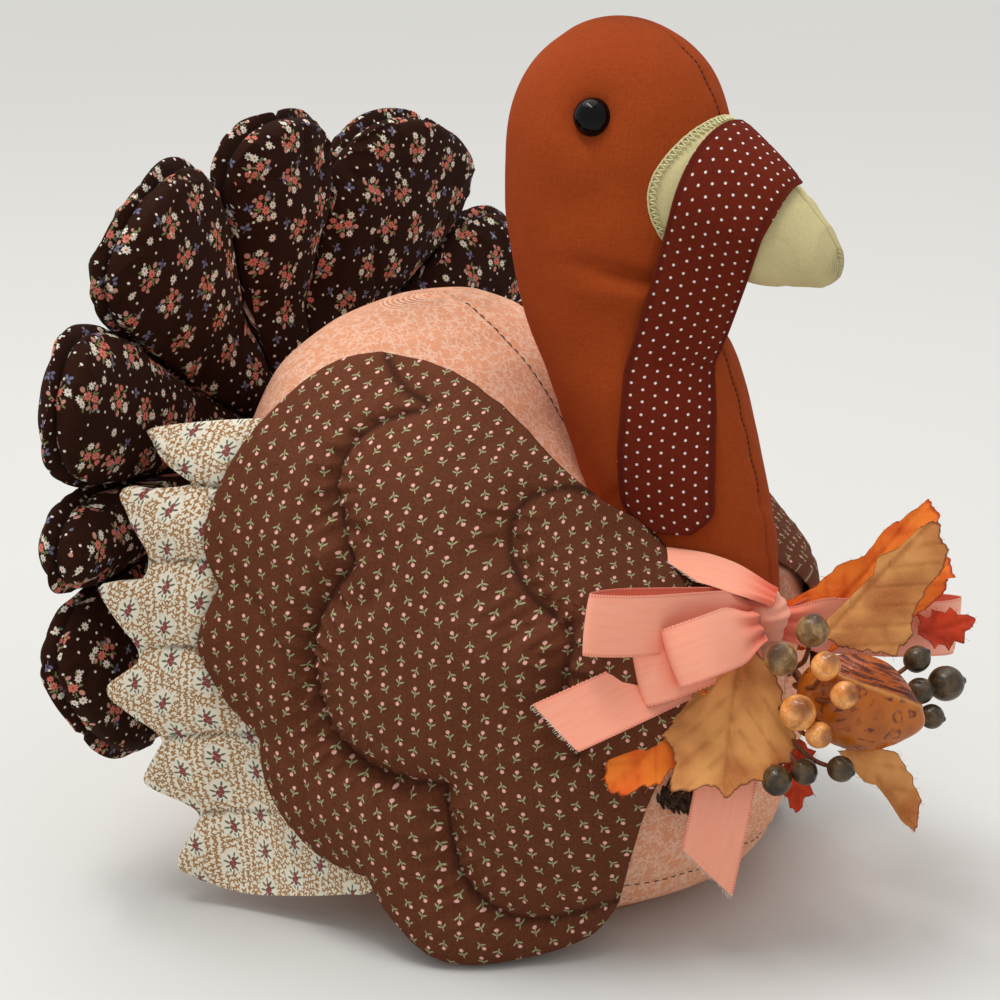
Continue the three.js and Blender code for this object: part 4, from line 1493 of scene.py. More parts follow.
@dataclass
class Beak:
    """The stuffed beak: X, height of its middle, half height, half width."""

    neck: NeckAndHead
    rows: Rows = (
        (66, 275, 36, 30.5), (84, 275, 34, 29.5), (102, 271, 28, 25.5), (117, 265, 22.5, 20),
        (130, 259.5, 16.5, 14.5), (138.5, 255.5, 11.5, 10), (143, 253.5, 6, 5.5), (144.5, 252.5, 0, 0),
    )
    set_back: float = 0.035
    around: int = 140
    rings: int = 110

    def surface(self, turn: Numbers, x: Numbers) -> Numbers:
        """Gives points of the beak at angles from its ridge and distances along X.

        Args:
            turn: Angles from the ridge.
            x: Distances along X.

        Returns:
            The points.
        """
        _, z, deep, half = at_level(self.rows, x).T
        slack = 1 - self.set_back * ease(x, 104, 86)
        deep, half = np.maximum(deep, 0) * slack, np.maximum(half, 0) * slack
        return np.stack([x, half * np.sin(turn), z + deep * np.cos(turn)], 1)

    def build(self) -> None:
        """Makes the beak, with its ridge seam and the stitched edge where it meets the face."""
        form = Form("beak", self.around, self.rings)
        turn = crowded(form.turn)
        x = 66 + 78.5 * np.sin(form.way * math.pi / 2)
        at = self.surface(turn, x)
        at[form.way < 1e-3] = (66, 0, 275)
        form.place(at)
        out = form.outward()
        seam = hill(at[:, 1], 1.6) * ease(x, 80, 90)
        soft = lumps(at, 20, 7) * 0.7 - 0.4 * folds(at, 16, 8) - 0.5
        lift = soft * ease(x, 145, 132) - 0.6 * seam
        form.place(at + out * lift[:, None])
        # Painted shade along the ridge seam.
        form.mark("painted_shade", hill(at[:, 1], 0.5) * ease(x, 80, 90) * 0.6)
        form.lay_cloth(np.abs(turn) * 25, x)
        piece = form.piece(BEAK_CLOTH, "beak_cover", "beak_stuffing")
        self._edge()

    def _edge(self) -> None:
        """Sews a zigzag of thread over the edge of the beak's cloth."""
        turns = np.linspace(-math.pi, math.pi, 361)
        reach = np.linspace(66, 140, 371)
        x = np.array([
            reach[np.argmin(self.neck.holds(self.surface(np.full(len(reach), t), reach)))] for t in turns
        ])
        edge = self.surface(turns, x)
        ahead = unit(self.surface(turns, x + 1) - edge)
        round_it = unit(np.gradient(edge, axis=0))
        out = np.cross(round_it, ahead)
        outward = edge - np.array([0, 0, 1]) * 272 - np.array([1, 0, 0]) * edge[:, :1]
        out *= np.sign((out * outward).sum(1))[:, None]
        run = run_along(edge)
        pitch = 2.3
        marks = np.arange(0, run[-1], pitch / 4)
        swing = 1 - np.abs((marks / pitch * 2) % 2 - 1) * 2
        over = read_line(marks, run, ahead) * (1.7 + 1.7 * swing)[:, None]
        path = read_line(marks, run, edge) + over + read_line(marks, run, out) * 0.3
        tube("beak_zigzag", path, 0.3, 5).piece(EDGE_THREAD)
        fold = tube("beak_edge", edge[::2] + out[::2] * 0.05, 0.45, 8)
        fold.lay_cloth(fold.at[:, 1], fold.at[:, 2])
        fold.piece(BEAK_CLOTH)


@dataclass
class Eyes:
    """Two domed black buttons set into the sides of the head."""

    middle: Point
    radius: float = 7.2
    proud: float = 4.6

    def build(self) -> None:
        """Makes one button on each side."""
        x, y, z = self.middle
        for side in Side:
            form = Form(f"eye_dome_{side.word}", 48, 32)
            dome = form.at.copy()
            rim = hill(np.abs(dome[:, 1]) - 0.1, 0.12) * 0.04
            dome *= (1 - rim)[:, None]
            sunk = side.value * (y + self.proud - self.radius)
            form.place(dome * self.radius + (x, sunk, z))
            form.piece(EYE_GLOSS, f"eye_{side.word}")


@dataclass
class Wattle:
    """The lined strip over the beak: rows round its ridge, then rows down beside the neck."""

    neck: NeckAndHead
    beak: Beak
    over: Rows = ((-6, 101, 126.5), (28, 98, 126.5), (62, 94, 125), (92, 90, 121.5))
    down: Rows = ((214, 21, 77), (190, 5, 60), (170, -6, 50), (159, -8, 45), (152.5, 2, 34))
    thick: float = 1.15
    clear: float = 2.1
    lean: float = 1.05
    sag: float = 1.5
    free_rows: int = 30
    cross_rows: int = 25

    def _rows(self) -> Numbers:
        """Gives the middle surface as rows of points across the strip.

        Returns:
            The points, by row and column.
        """
        share = np.linspace(0, 1, self.cross_rows)
        rows = []
        for degrees, left, right in smooth_line(self.over, 24):
            a = math.radians(degrees)
            x = left + (right - left) * share
            at = self.beak.surface(np.full(len(x), -a), x)
            out = unit(np.array([[0.25, -math.sin(a), math.cos(a)]]))
            rows.append(at + out * self.clear)
        fine = np.linspace(0, len(self.neck.rows) - 2, 900)
        spine = along(self.neck.rows, fine)
        lower = []
        for z, left, right in smooth_line(self.down, 44):
            station = spine[np.abs(spine[:, 1] - z).argmin()]
            a = np.radians(left + (right - left) * share)
            out = np.stack([np.sin(a), -np.cos(a), np.zeros(len(a))], 1)
            at = np.stack([
                station[0] + station[2] * self.lean * np.sin(a), -station[3] * np.cos(a),
                np.full(len(a), z),
            ], 1)
            lower.append(at + out * self.clear)
        last_over = rows[-1]
        for part in np.linspace(0, 1, self.free_rows)[1:-1]:
            sag = self.sag * math.sin(math.pi * part)
            rows.append(last_over * (1 - part) + lower[0] * part + np.array([0.0, sag, 0.0]))
        rows += lower
        return np.array(rows)

    def build(self) -> None:
        """Makes the strip in one piece."""
        rows = self._rows()
        last = len(rows) - 1
        run = run_along(rows[:, self.cross_rows // 2])
        form = Form("wattle", 56, 190)
        way = np.clip((form.way - 0.004) / 0.992, 0, 1)
        length = way * run[-1]
        row = np.interp(length, run, np.arange(last + 1))
        end = np.clip((length - (run[-1] - 13)) / 13, 0, 1)
        narrow = np.sqrt(np.maximum(1 - 0.55 * end**2.5, 0)) * np.where(form.way > 0.999, 0, 1)
        across = signed_power(np.cos(form.turn), 0.55) * narrow
        side = signed_power(np.sin(form.turn), 0.35)
        column = (across + 1) / 2 * (self.cross_rows - 1)
        at = read_grid(rows, row, column)
        along_it = read_grid(rows, np.minimum(row + 0.5, last), column) - read_grid(
            rows, np.maximum(row - 0.5, 0), column)
        over_it = read_grid(rows, row, np.minimum(column + 0.5, self.cross_rows - 1)) - read_grid(
            rows, row, np.maximum(column - 0.5, 0))
        out = unit(np.cross(over_it, along_it))
        out *= np.sign((out * (at - np.array([70.0, 0.0, 245.0]))).sum(1))[:, None]
        ends = np.where((form.way < 0.003) | (form.way > 0.997), 0.0, 1.0)
        wave = 0.9 * lumps(np.stack([length, column * 1.2, 0 * row], 1), 26, 9) * ease(length, 60, 95)
        edge = hill(np.abs(across) / np.maximum(narrow, 0.05) - 0.9, 0.06)
        thick = self.thick * (1 - 0.3 * edge) * side * ends
        form.place(at + out * (thick + wave)[:, None])
        width = np.interp(row, np.arange(last + 1), np.linalg.norm(rows[:, -1] - rows[:, 0], axis=1))
        form.lay_cloth(across * width / 2, length)
        # Painted shade along the strip's edges.
        form.mark("painted_shade", 0.45 * edge)
        piece = form.piece(WATTLE_CLOTH, body="")
        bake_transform(piece)
        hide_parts("wattle_top", "wattle_flap")


# Wings and under-feathers


@dataclass
class Lining:
    """The curved surface that a wing lies on: height, X of its widest place, half length, reach."""

    rows: Rows = (
        (0, 10, 106, 121), (12, 13, 106, 118), (40, 15, 110, 114), (80, 15.5, 116, 111),
        (120, 12, 113.5, 109.5), (140, 4, 102, 107.5), (154, 0, 89.5, 105), (168, -4, 84.5, 99.5),
        (184, -10.5, 77.5, 91), (202, -20, 67.5, 74), (216, -23, 47, 52.5), (225, -25, 20, 24),
    )
    flare_from: float = -30.0
    flare_rate: float = 0.0122
    blunt: float = 0.985

    def reach(self, x: Numbers, z: Numbers) -> Numbers:
        """Distance of the lining from the middle plane.

        Args:
            x: Places along X.
            z: Heights.

        Returns:
            A distance for each place.
        """
        _, widest, ahead, reach = at_level(self.rows, z).T
        t = np.clip((x - widest) / ahead, 0, self.blunt)
        behind = np.maximum(0, self.flare_from - x)
        spread = self.flare_rate * np.minimum(1, 0.4 + z / 130)
        return reach * np.sqrt(1 - t * t) + spread * behind * behind

    def cloth(self, x: Numbers, z: Numbers) -> tuple[Numbers, Numbers]:
        """Place on the cloth, which is longer than its side view where it curves inwards.

        Args:
            x: Places along X.
            z: Heights.

        Returns:
            Places along the cloth and up it, in millimetres.
        """
        rear, wide, high = -90.0, 2.0, 4.0
        grid_x, grid_z = np.meshgrid(rear + wide * np.arange(104), high * np.arange(55))
        y = self.reach(grid_x.ravel(), grid_z.ravel()).reshape(grid_x.shape)
        run_x = np.cumsum(np.hypot(wide, np.diff(y, axis=1, prepend=y[:, :1])), axis=1)
        run_z = np.cumsum(np.hypot(high, np.diff(y, axis=0, prepend=y[:1])), axis=0)
        row, column = np.clip(z / high, 0, 53.99), np.clip((x - rear) / wide, 0, 102.99)
        return tuple(read_grid(np.stack([run_x, run_z], -1), row, column).T)


def pad_places(form: Form, outline: Numbers, centre: Sequence[float], back: float) -> tuple:
    """Spreads a ball over a flat outline, its face above and its back below.

    Args:
        form: The ball.
        outline: Closed outline, with its first point once more at the end.
        centre: The point that the rings close in on.
        back: Share of the rings that goes to the back.

    Returns:
        X, Y, reach from 0 at the centre to 1 at the outline, and which points are on the face.
    """
    run = run_along(outline)
    edge = read_line((form.turn / FULL_TURN) % 1.0 * run[-1], run, outline)
    face = form.way >= back - 1e-6
    inward = np.where(face, (form.way - back) / (1 - back), (back - form.way) / back)
    reach = np.clip(1 - np.clip(inward, 0, 1) ** 1.4, 0, 1)
    x, y = (np.array(centre) + (edge - centre) * reach[:, None]).T
    return x, y, reach, face


def closed(points: Rows) -> Numbers:
    """Repeats the first point of an outline at its end."""
    table = np.array(points, float)
    return np.concatenate([table, table[:1]])


@dataclass
class Wing:
    """A quilted wing: outline and stitched lines in X and Z, on its lining."""

    lining: Lining
    centre: tuple[float, float] = (22, 105)
    puff: float = 9.6
    edge: float = 1.6
    stretches: tuple = (
        ((-17, 213.5), (9, 210), (38, 196), (70, 169), (94, 146), (111, 134), (121, 121)),
        ((121, 121), (121, 98), (107, 62), (98, 22)),
        ((98, 22), (90, 9), (69, 2.5), (46, 2.5), (26, 17), (17, 29)),
        ((17, 29), (-3, 31), (-22, 42), (-33, 57), (-35, 72)),
        ((-35, 72), (-49, 86), (-58, 108), (-51, 131)),
        ((-51, 131), (-57, 150), (-51, 182), (-36, 207), (-17, 213.5)),
    )
    quilting: tuple = (
        ((-14, 213), (1, 204), (13, 199), (1, 194), (-6, 186), (-7, 174), (-2, 162), (6, 147)),
        ((6, 147), (-6, 130), (-10, 114), (-8, 98), (1, 80), (22, 71), (46, 70)),
        ((46, 70), (48, 51), (54, 34), (67, 22), (80, 19), (98, 23)),
        ((70, 169), (63, 172), (56, 169), (55, 159), (60, 148), (69, 138), (77, 132)),
        ((81, 130), (84, 123), (84, 110), (89, 83)),
    )
    around: int = 330
    rings: int = 120
    back: float = 0.2

    def build(self, side: Side) -> None:
        """Makes one wing.

        Args:
            side: The side it is on.
        """
        outline = np.concatenate([smooth_line(s, 16)[:-1] for s in self.stretches])
        form = Form(f"wing_{side.word}_quilted", self.around, self.rings)
        x, z, reach, face = pad_places(form, closed(outline), self.centre, self.back)
        lining = self.lining.reach(x, z)
        gap, run = smooth_seams(self.quilting).nearest(x, z)
        flat = np.stack([x, z, np.full(len(x), 40.0 * side.value)], 1)
        valley = 0.5 * hill(gap, 7.5) + 0.4 * hill(gap, 2.2)
        crown = np.sqrt(np.maximum(1 - reach**6, 0))
        wave = run * math.pi / 7.0 + 3 * lumps(flat, 25, 11)
        pucker = (0.6 - np.abs(np.sin(wave)) ** 0.6) * hill(gap, 10) * (1 - hill(gap, 1.5))
        soft = 2.0 * lumps(flat, 38, 13) + 0.7 * lumps(flat, 15, 14)
        full = self.puff * (1 - valley) * crown
        full += (3.6 * pucker + soft - 2.4 * folds(flat, 42, 16)) * crown
        full = np.maximum(full, 0.5 * crown)
        y = np.where(face, lining + self.edge + full, lining)
        form.place(np.stack([x, side.value * y, z], 1))
        u, v = self.lining.cloth(x, z)
        form.lay_cloth(u + 300 * (side.value + 1), v)
        # Painted shade in the quilting grooves, and over the whole back that faces the body.
        form.mark("painted_shade", np.where(face, 0.9 * hill(gap, 1.0), 0.3))
        piece = form.piece(WING_CLOTH, body="")
        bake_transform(piece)
        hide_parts(f"wing_{side.word}", f"wing_front_{side.word}")


@dataclass
class UnderFeathers:
    """Cream scalloped feathers under a wing: outline and quilting in X and Z."""

    lining: Lining
    centre: tuple[float, float] = (0, 100)
    inset: float = 3.0
    outline: Rows = (
        (-20, 191), (-50, 189.5), (-79, 188), (-80, 185), (-75, 177), (-66, 167.5), (-77, 166.5),
        (-82, 168), (-83.5, 165.5), (-81.5, 160), (-76, 146), (-74.5, 139.5), (-75, 135), (-77, 133),
        (-85, 133), (-86, 129.5), (-81.5, 117.5), (-77, 106), (-77.5, 100.5), (-84, 94), (-84.5, 90),
        (-82, 85), (-72, 70.5), (-73, 65), (-77.5, 54.5), (-76, 49), (-62.8, 38.5), (-64, 31),
        (-69.5, 17), (-66, 12.5), (-55, 9), (-40, 8), (-18, 12), (3, 17.5), (14, 21), (28, 34), (27, 66),
        (25, 105), (14, 145), (-2, 175),
    )
    quilting: tuple = (
        ((-66, 167), (-10, 161)), ((-75, 140), (-5, 135)), ((-77, 106), (0, 104)), ((-72, 70), (0, 72)),
        ((-62, 38), (5, 46)),
    )

    def build(self, side: Side) -> None:
        """Makes the under-feathers of one side.

        Args:
            side: The side they are on.
        """
        form = Form(f"feathers_{side.word}", 300, 100)
        outline = smooth_line(closed(self.outline), 400)
        x, z, reach, face = pad_places(form, outline, self.centre, 0.35)
        lining = self.lining.reach(x, z) - self.inset
        gap, run = Seams(self.quilting).nearest(x, z)
        flat = np.stack([x, z, np.full(len(x), 60.0 * side.value)], 1)
        crown = np.sqrt(np.maximum(1 - reach**10, 0))
        loose = ease(-x, 10, 50)
        full = loose * crown * (1 - 0.6 * hill(gap, 6) - 0.35 * hill(gap, 1.3))
        pucker = 0.5 * np.sin(run / 1.1 + 2 * lumps(flat, 12, 17)) * hill(gap, 6) * loose
        free = ease(-x, 48, 60)
        outer = lining + free * (4.4 * full + pucker + 0.7 * lumps(flat, 14, 15) - 0.6 * folds(flat, 18, 18))
        inner = lining - 2.0 - 3.0 * full
        form.place(np.stack([x, side.value * np.where(face, outer, inner), z], 1))
        u, v = self.lining.cloth(x, z)
        form.lay_cloth(u + 200, v + 90 * side.value)
        # Painted shade along the quilting lines.
        form.mark("painted_shade", hill(gap, 0.6) * loose)
        piece = form.piece(CREAM_CLOTH, f"wing_feathers_{side.word}", body=f"{side.word}_wing")


# Tail


@dataclass
class TailFan:
    """A fan of stuffed feathers: first and last angle from straight up, reach, lean of the tip."""

    hub: float = 150.0
    rear: float = -107.0
    forward: float = 7.0
    half_width: float = 160.0
    tuck: float = 7.0
    tuck_radius: float = 50.0
    hub_radius: float = 6.0
    feathers: Rows = (
        (-138, -101, 161, 11), (-101, -84, 155, 0), (-84, -57, 159, 2), (-57, -20, 151, -5),
        (-20, 17, 139, 0), (17, 58, 160, 18), (58, 82, 179, 0), (82, 101, 168, 0), (101, 137, 165, -8),
    )
    thin: float = 4.5
    puff: float = 9.0
    shoulder: float = 0.8
    flare: float = 0.4
    curl: float = 3.5
    dish: float = 5.0
    round: float = 2.4

    def _on_fan(self, angle: float, r: Numbers, across: Numbers, proud: Numbers) -> Numbers:
        """Gives places near the fan's middle surface.

        Args:
            angle: Angle of the feather from straight up.
            r: Distance from the hub.
            across: Distance to the side of the feather's middle line.
            proud: Distance in front of the middle surface.

        Returns:
            The points.
        """
        y = r * math.sin(angle) + across * math.cos(angle)
        z = r * math.cos(angle) - across * math.sin(angle)
        tuck = self.tuck * np.maximum(0, 1 - np.hypot(y, z) / self.tuck_radius)
        bow = self.forward * (y / self.half_width) ** 2
        return np.stack([self.rear + bow + tuck + proud, y, self.hub + z], 1)

    def _profile(self, way: Numbers, reach: float, spread: float) -> tuple[Numbers, ...]:
        """Gives distance from the hub, half width, half thickness and how far into the rounded end.

        Args:
            way: Shares of the way to the tip.
            reach: Distance of the tip from the hub.
            spread: Half width at a distance of 1.

        Returns:
            The four, with a value for each share.
        """
        r = self.hub_radius + (reach - self.hub_radius) * np.sin(way * math.pi / 2) ** 0.9
        shoulder = self.shoulder * reach
        past = np.clip((r - shoulder) / (reach - shoulder), 0, 1)
        rounded = (1 - past**self.round) ** (1 / self.round)
        half = np.minimum(r, shoulder + (r - shoulder) * self.flare) * spread * rounded - 0.1
        swell = np.sin(np.pi * np.minimum(r / reach, 0.75) / 1.5) ** 2.2
        thick = (self.thin + self.puff * swell) * np.sqrt(rounded) * np.clip(way / 0.02, 0, 1)
        return r, np.maximum(half, 0) * np.clip(way / 0.02, 0, 1), thick, past

    def feather(self, number: int, first: float, last: float, reach: float, lean: float) -> None:
        """Makes one feather.

        Args:
            number: Its number, which its node has too.
            first: First angle in degrees.
            last: Last angle in degrees.
            reach: Distance of its tip from the hub.
            lean: How much further it reaches at its last edge.
        """
        form = Form(f"tail_lobe_{number}", 128, 120)
        angle = math.radians((first + last) / 2)
        spread = math.tan(math.radians((last - first) / 2))
        fine = np.linspace(0, 1, 500)
        r, half, *_ = self._profile(fine, reach, spread)
        run = run_along(np.stack([r, half], 1))
        from_tip = run[-1] - np.interp(form.way, fine, run)
        r, half, thick, past = self._profile(form.way, reach, spread)
        turn = form.turn - math.pi / 2
        turn = np.where(turn < -math.pi, turn + FULL_TURN, turn)
        across, lift = -np.sin(turn), np.cos(turn)
        outer = ease(r, 30, 80)
        edge = hill(lift, 0.2) * outer
        band = np.sin(math.pi * np.clip(-1.7 * lift, 0, 1)) * outer
        flat = np.stack([r, across * half, 30 * lift + 90.0 * number], 1)
        near_edge = hill(1 - np.abs(across), 0.55)
        pinch = hill(r - 0.9 * reach, 17)
        wave = np.abs(np.sin(r / 3.4 + 3 * lumps(flat, 22, 21)))
        pucker = 2.2 * (0.55 - wave**0.6) * near_edge * pinch
        soft = 1.6 * lumps(flat, 26, 22) + 0.5 * lumps(flat, 11, 23)
        creased = 1.3 * folds(flat, 34, 24) * ease(r, 40, 90)
        bulge = thick * lift + (pucker + 0.8 * soft - creased) * np.clip(np.abs(lift) * 2, 0, 1)
        bulge += self.curl * past**1.6 - self.dish * (1 - ease(r / reach, 0.35, 0.75)) * ease(r, 45, 65)
        wide = np.maximum(half * (1 - 0.06 * pinch) - 1.7 * edge + 2.4 * band * np.clip(half / 8, 0, 1), 0)
        stretched = 1 + lean * across * half / half.max() / reach
        tip = np.clip((r - 0.5 * reach) / (0.5 * reach), 0, 1)
        far = r * stretched + tip * (3.2 * band - 1.5 * edge * np.clip(half / 8, 0, 1))
        aside = wide * stretched * across
        at = self._on_fan(angle, far, aside, bulge)
        form.place(at)
        shift = 61.0 * number
        form.lay_cloth(aside + shift, far, (from_tip * across + shift, at[:, 0]))
        # Painted shade along the seam round each feather's rim.
        form.mark("painted_shade", 0.9 * hill(lift, 0.06) * outer)
        form.piece(TAIL_CLOTH, f"tail_feather_{number}")

    def build(self) -> None:
        """Makes every feather."""
        for number, row in enumerate(self.feathers, 1):
            self.feather(number, *row)


# Bow


@dataclass(frozen=True)
class Axes:
    """A place with three directions: x along a piece, z through its width."""

    origin: Point
    along: Point
    near: Point

    def lay(self, x: Numbers, y: Numbers, z: Numbers) -> Numbers:
        """Turns places on the axes into points of the figure.

        Args:
            x: Distances along the piece.
            y: Distances from its flat side.
            z: Distances through its width.

        Returns:
            The points.
        """
        ahead = unit(np.array(self.along, float))
        up = unit(np.cross(unit(np.array(self.near, float)), ahead))
        over = np.cross(ahead, up)
        return np.array(self.origin) + x[:, None] * ahead + y[:, None] * up + z[:, None] * over


def loop_side(length: float, opened: float) -> Rows:
    """Side view of a ribbon loop.

    Args:
        length: Length of the loop.
        opened: Half its height.

    Returns:
        Points out along it and back.
    """
    return (
        (0, -1), (0.35 * length, -0.62 * opened), (0.78 * length, -opened), (length, 0),
        (0.78 * length, opened), (0.35 * length, 0.62 * opened), (0, 1),
    )


class Cut(Enum):
    """How a ribbon's far end finishes."""

    NONE = 0
    SLANTED = 1


@dataclass(frozen=True)
class Ribbon:
    """One stretch of the bow: its node, side view, axes, and how its far end is cut."""

    node: str
    side: Rows
    axes: Axes
    cut: Cut = Cut.NONE
    slant: float = 0.0
    curl: float = 1.0
    half: float = 11.0
    thick: float = 0.22

    def build(self) -> None:
        """Makes the ribbon as a thin strip with looped edges and, where it is cut, fray."""
        form = Form(self.node + "_satin", 44, 150)
        line = smooth_line(self.side, 400)
        run = run_along(line)
        way = np.clip((form.way - 0.006) / 0.988, 0, 1)
        poles = np.where((form.way < 0.005) | (form.way > 0.995), 0.0, 1.0)
        across = signed_power(np.cos(form.turn), 0.8) * poles
        length = way * run[-1] + self.slant * across * ease(way, 0.5, 1)
        past = np.maximum(length - run[-1], 0)
        inside = np.clip(length, 1, run[-1] - 1)
        ahead = unit(read_line(inside + 1, run, line) - read_line(inside - 1, run, line))
        x, y = (read_line(length, run, line) + ahead * past[:, None]).T
        held = 1 - ease(length, 0, 20)
        if self.cut is Cut.NONE:
            held = np.maximum(held, ease(length, run[-1] - 20, run[-1]))
        width = self.half * (1 - 0.45 * held) * across
        pleat = 1.1 * held * np.sin(across * 7.5) + self.curl * (across**2 - 0.4) * (1 - held) * 0.5
        lift = self.thick * signed_power(np.sin(form.turn), 0.5) * poles
        x -= ahead[:, 1] * (lift + pleat)
        y += ahead[:, 0] * (lift + pleat)
        looped = 0.22 * np.sin(length * FULL_TURN / 1.1) * ease(np.abs(across), 0.97, 0.995)
        form.place(self.axes.lay(x, y, width + looped * np.sign(across)))
        form.lay_cloth(across * self.half, length)
        # Painted shade: the fold mark is strongest where the ribbon gathers at the knot and covers the inner
        # face of each loop.
        loop_inside_shade = 0.55 * (np.sin(form.turn) > 0) * (self.cut is Cut.NONE)
        form.mark("fold", np.maximum(0.75 * held, loop_inside_shade))
        piece = form.piece(SATIN, self.node)
        if self.cut is Cut.SLANTED:
            self._fray(line[-1], ahead[form.way > 0.99].mean(0))

    def _fray(self, end: Numbers, ahead: Numbers) -> None:
        """Lets loose threads stand out along the cut end.

        Args:
            end: Last point of the side view.
            ahead: Direction there.
        """
        dice = np.random.default_rng(len(self.node) + 7)
        threads = []
        for across in np.linspace(-0.97, 0.97, 46):
            start = end + ahead * (self.slant * across - 0.6)
            length = dice.uniform(0.7, 2.3)
            bend = dice.uniform(-0.7, 0.7, 2)
            step = np.linspace(0, 1, 4)
            x = start[0] + ahead[0] * length * step - ahead[1] * bend[0] * step**2
            y = start[1] + ahead[1] * length * step + ahead[0] * bend[0] * step**2
            path = self.axes.lay(x, y, self.half * across + bend[1] * step**2)
            threads.append(tube("fray", path, 0.09, 4))
        joined(self.node + "_fray", threads).piece(PALE_FIBRE)


@dataclass
class Bow:
    """The satin bow: a tied knot, five loops and two tails."""

    knot: Point = (127, -16, 122)
    radii: Point = (7.6, 9.6, 10.4)
    ribbons: tuple = (
        Ribbon("bow_loop_left", loop_side(80, 6), Axes((124, -22, 123), (-0.36, -0.92, 0.16), (0, 0.1, 1))),
        Ribbon("bow_loop_right", loop_side(81, 8), Axes((130, -10, 118), (0.53, 0.83, -0.15), (0, 0.1, 1))),
        Ribbon(
            "bow_loop_front", loop_side(44, 8), Axes((131, -31, 123), (-13, -40.5, -2.3), (-0.47, 0, 0.88))
        ),
        Ribbon(
            "bow_loop_small", loop_side(53, 6), Axes((126, -27, 117), (-20.2, -47.6, -5), (-0.31, 0, 0.95))
        ),
        Ribbon(
            "bow_loop_top", ((0, 0), (14, 2.5), (28, 3), (41, 0)),
            Axes((132, -20, 131), (-0.85, -0.43, 0.3), (-0.46, 0.73, 0.5)), Cut.SLANTED, 12.0, half=8.0,
        ),
        Ribbon(
            "bow_tail_left", ((0, 0), (30, 2), (62, 3), (91, 0)),
            Axes((122, -24, 114), (-31.5, -83.8, -13.8), (-0.5, -0.02, 0.87)), Cut.SLANTED, 4.6,
        ),
        Ribbon(
            "bow_tail_down", ((0, 0), (28, -12), (58, -11), (84, -3)),
            Axes((125, -28, 113), (0.01, -0.36, -0.93), (0.85, 0.53, 0)), Cut.SLANTED, 7.5,
        ),
    )

    def build(self) -> None:
        """Makes the knot and the ribbons."""
        form = Form("bow_knot_tied", 72, 48)
        ball = form.at.copy()
        fold = np.sin(6.5 * ball[:, 2] + 1.2 * ball[:, 0]) * 0.07 + 0.05 * np.sin(15 * ball[:, 2])
        at = ball * (1 + fold * (1 - ball[:, 1] ** 2))[:, None] * self.radii + self.knot
        form.place(at)
        form.lay_cloth(ball[:, 2] * 9, form.turn * 9)
        form.piece(SATIN, "bow_knot")
        for ribbon in self.ribbons:
            ribbon.build()


# Spray


HOLLY = (
    (0.05, 0.3), (0.12, 0.42), (0.16, 0.85), (0.3, 0.6), (0.42, 0.72), (0.46, 1.0), (0.6, 0.62), (0.72, 0.82),
    (0.78, 0.4), (0.9, 0.3),
)


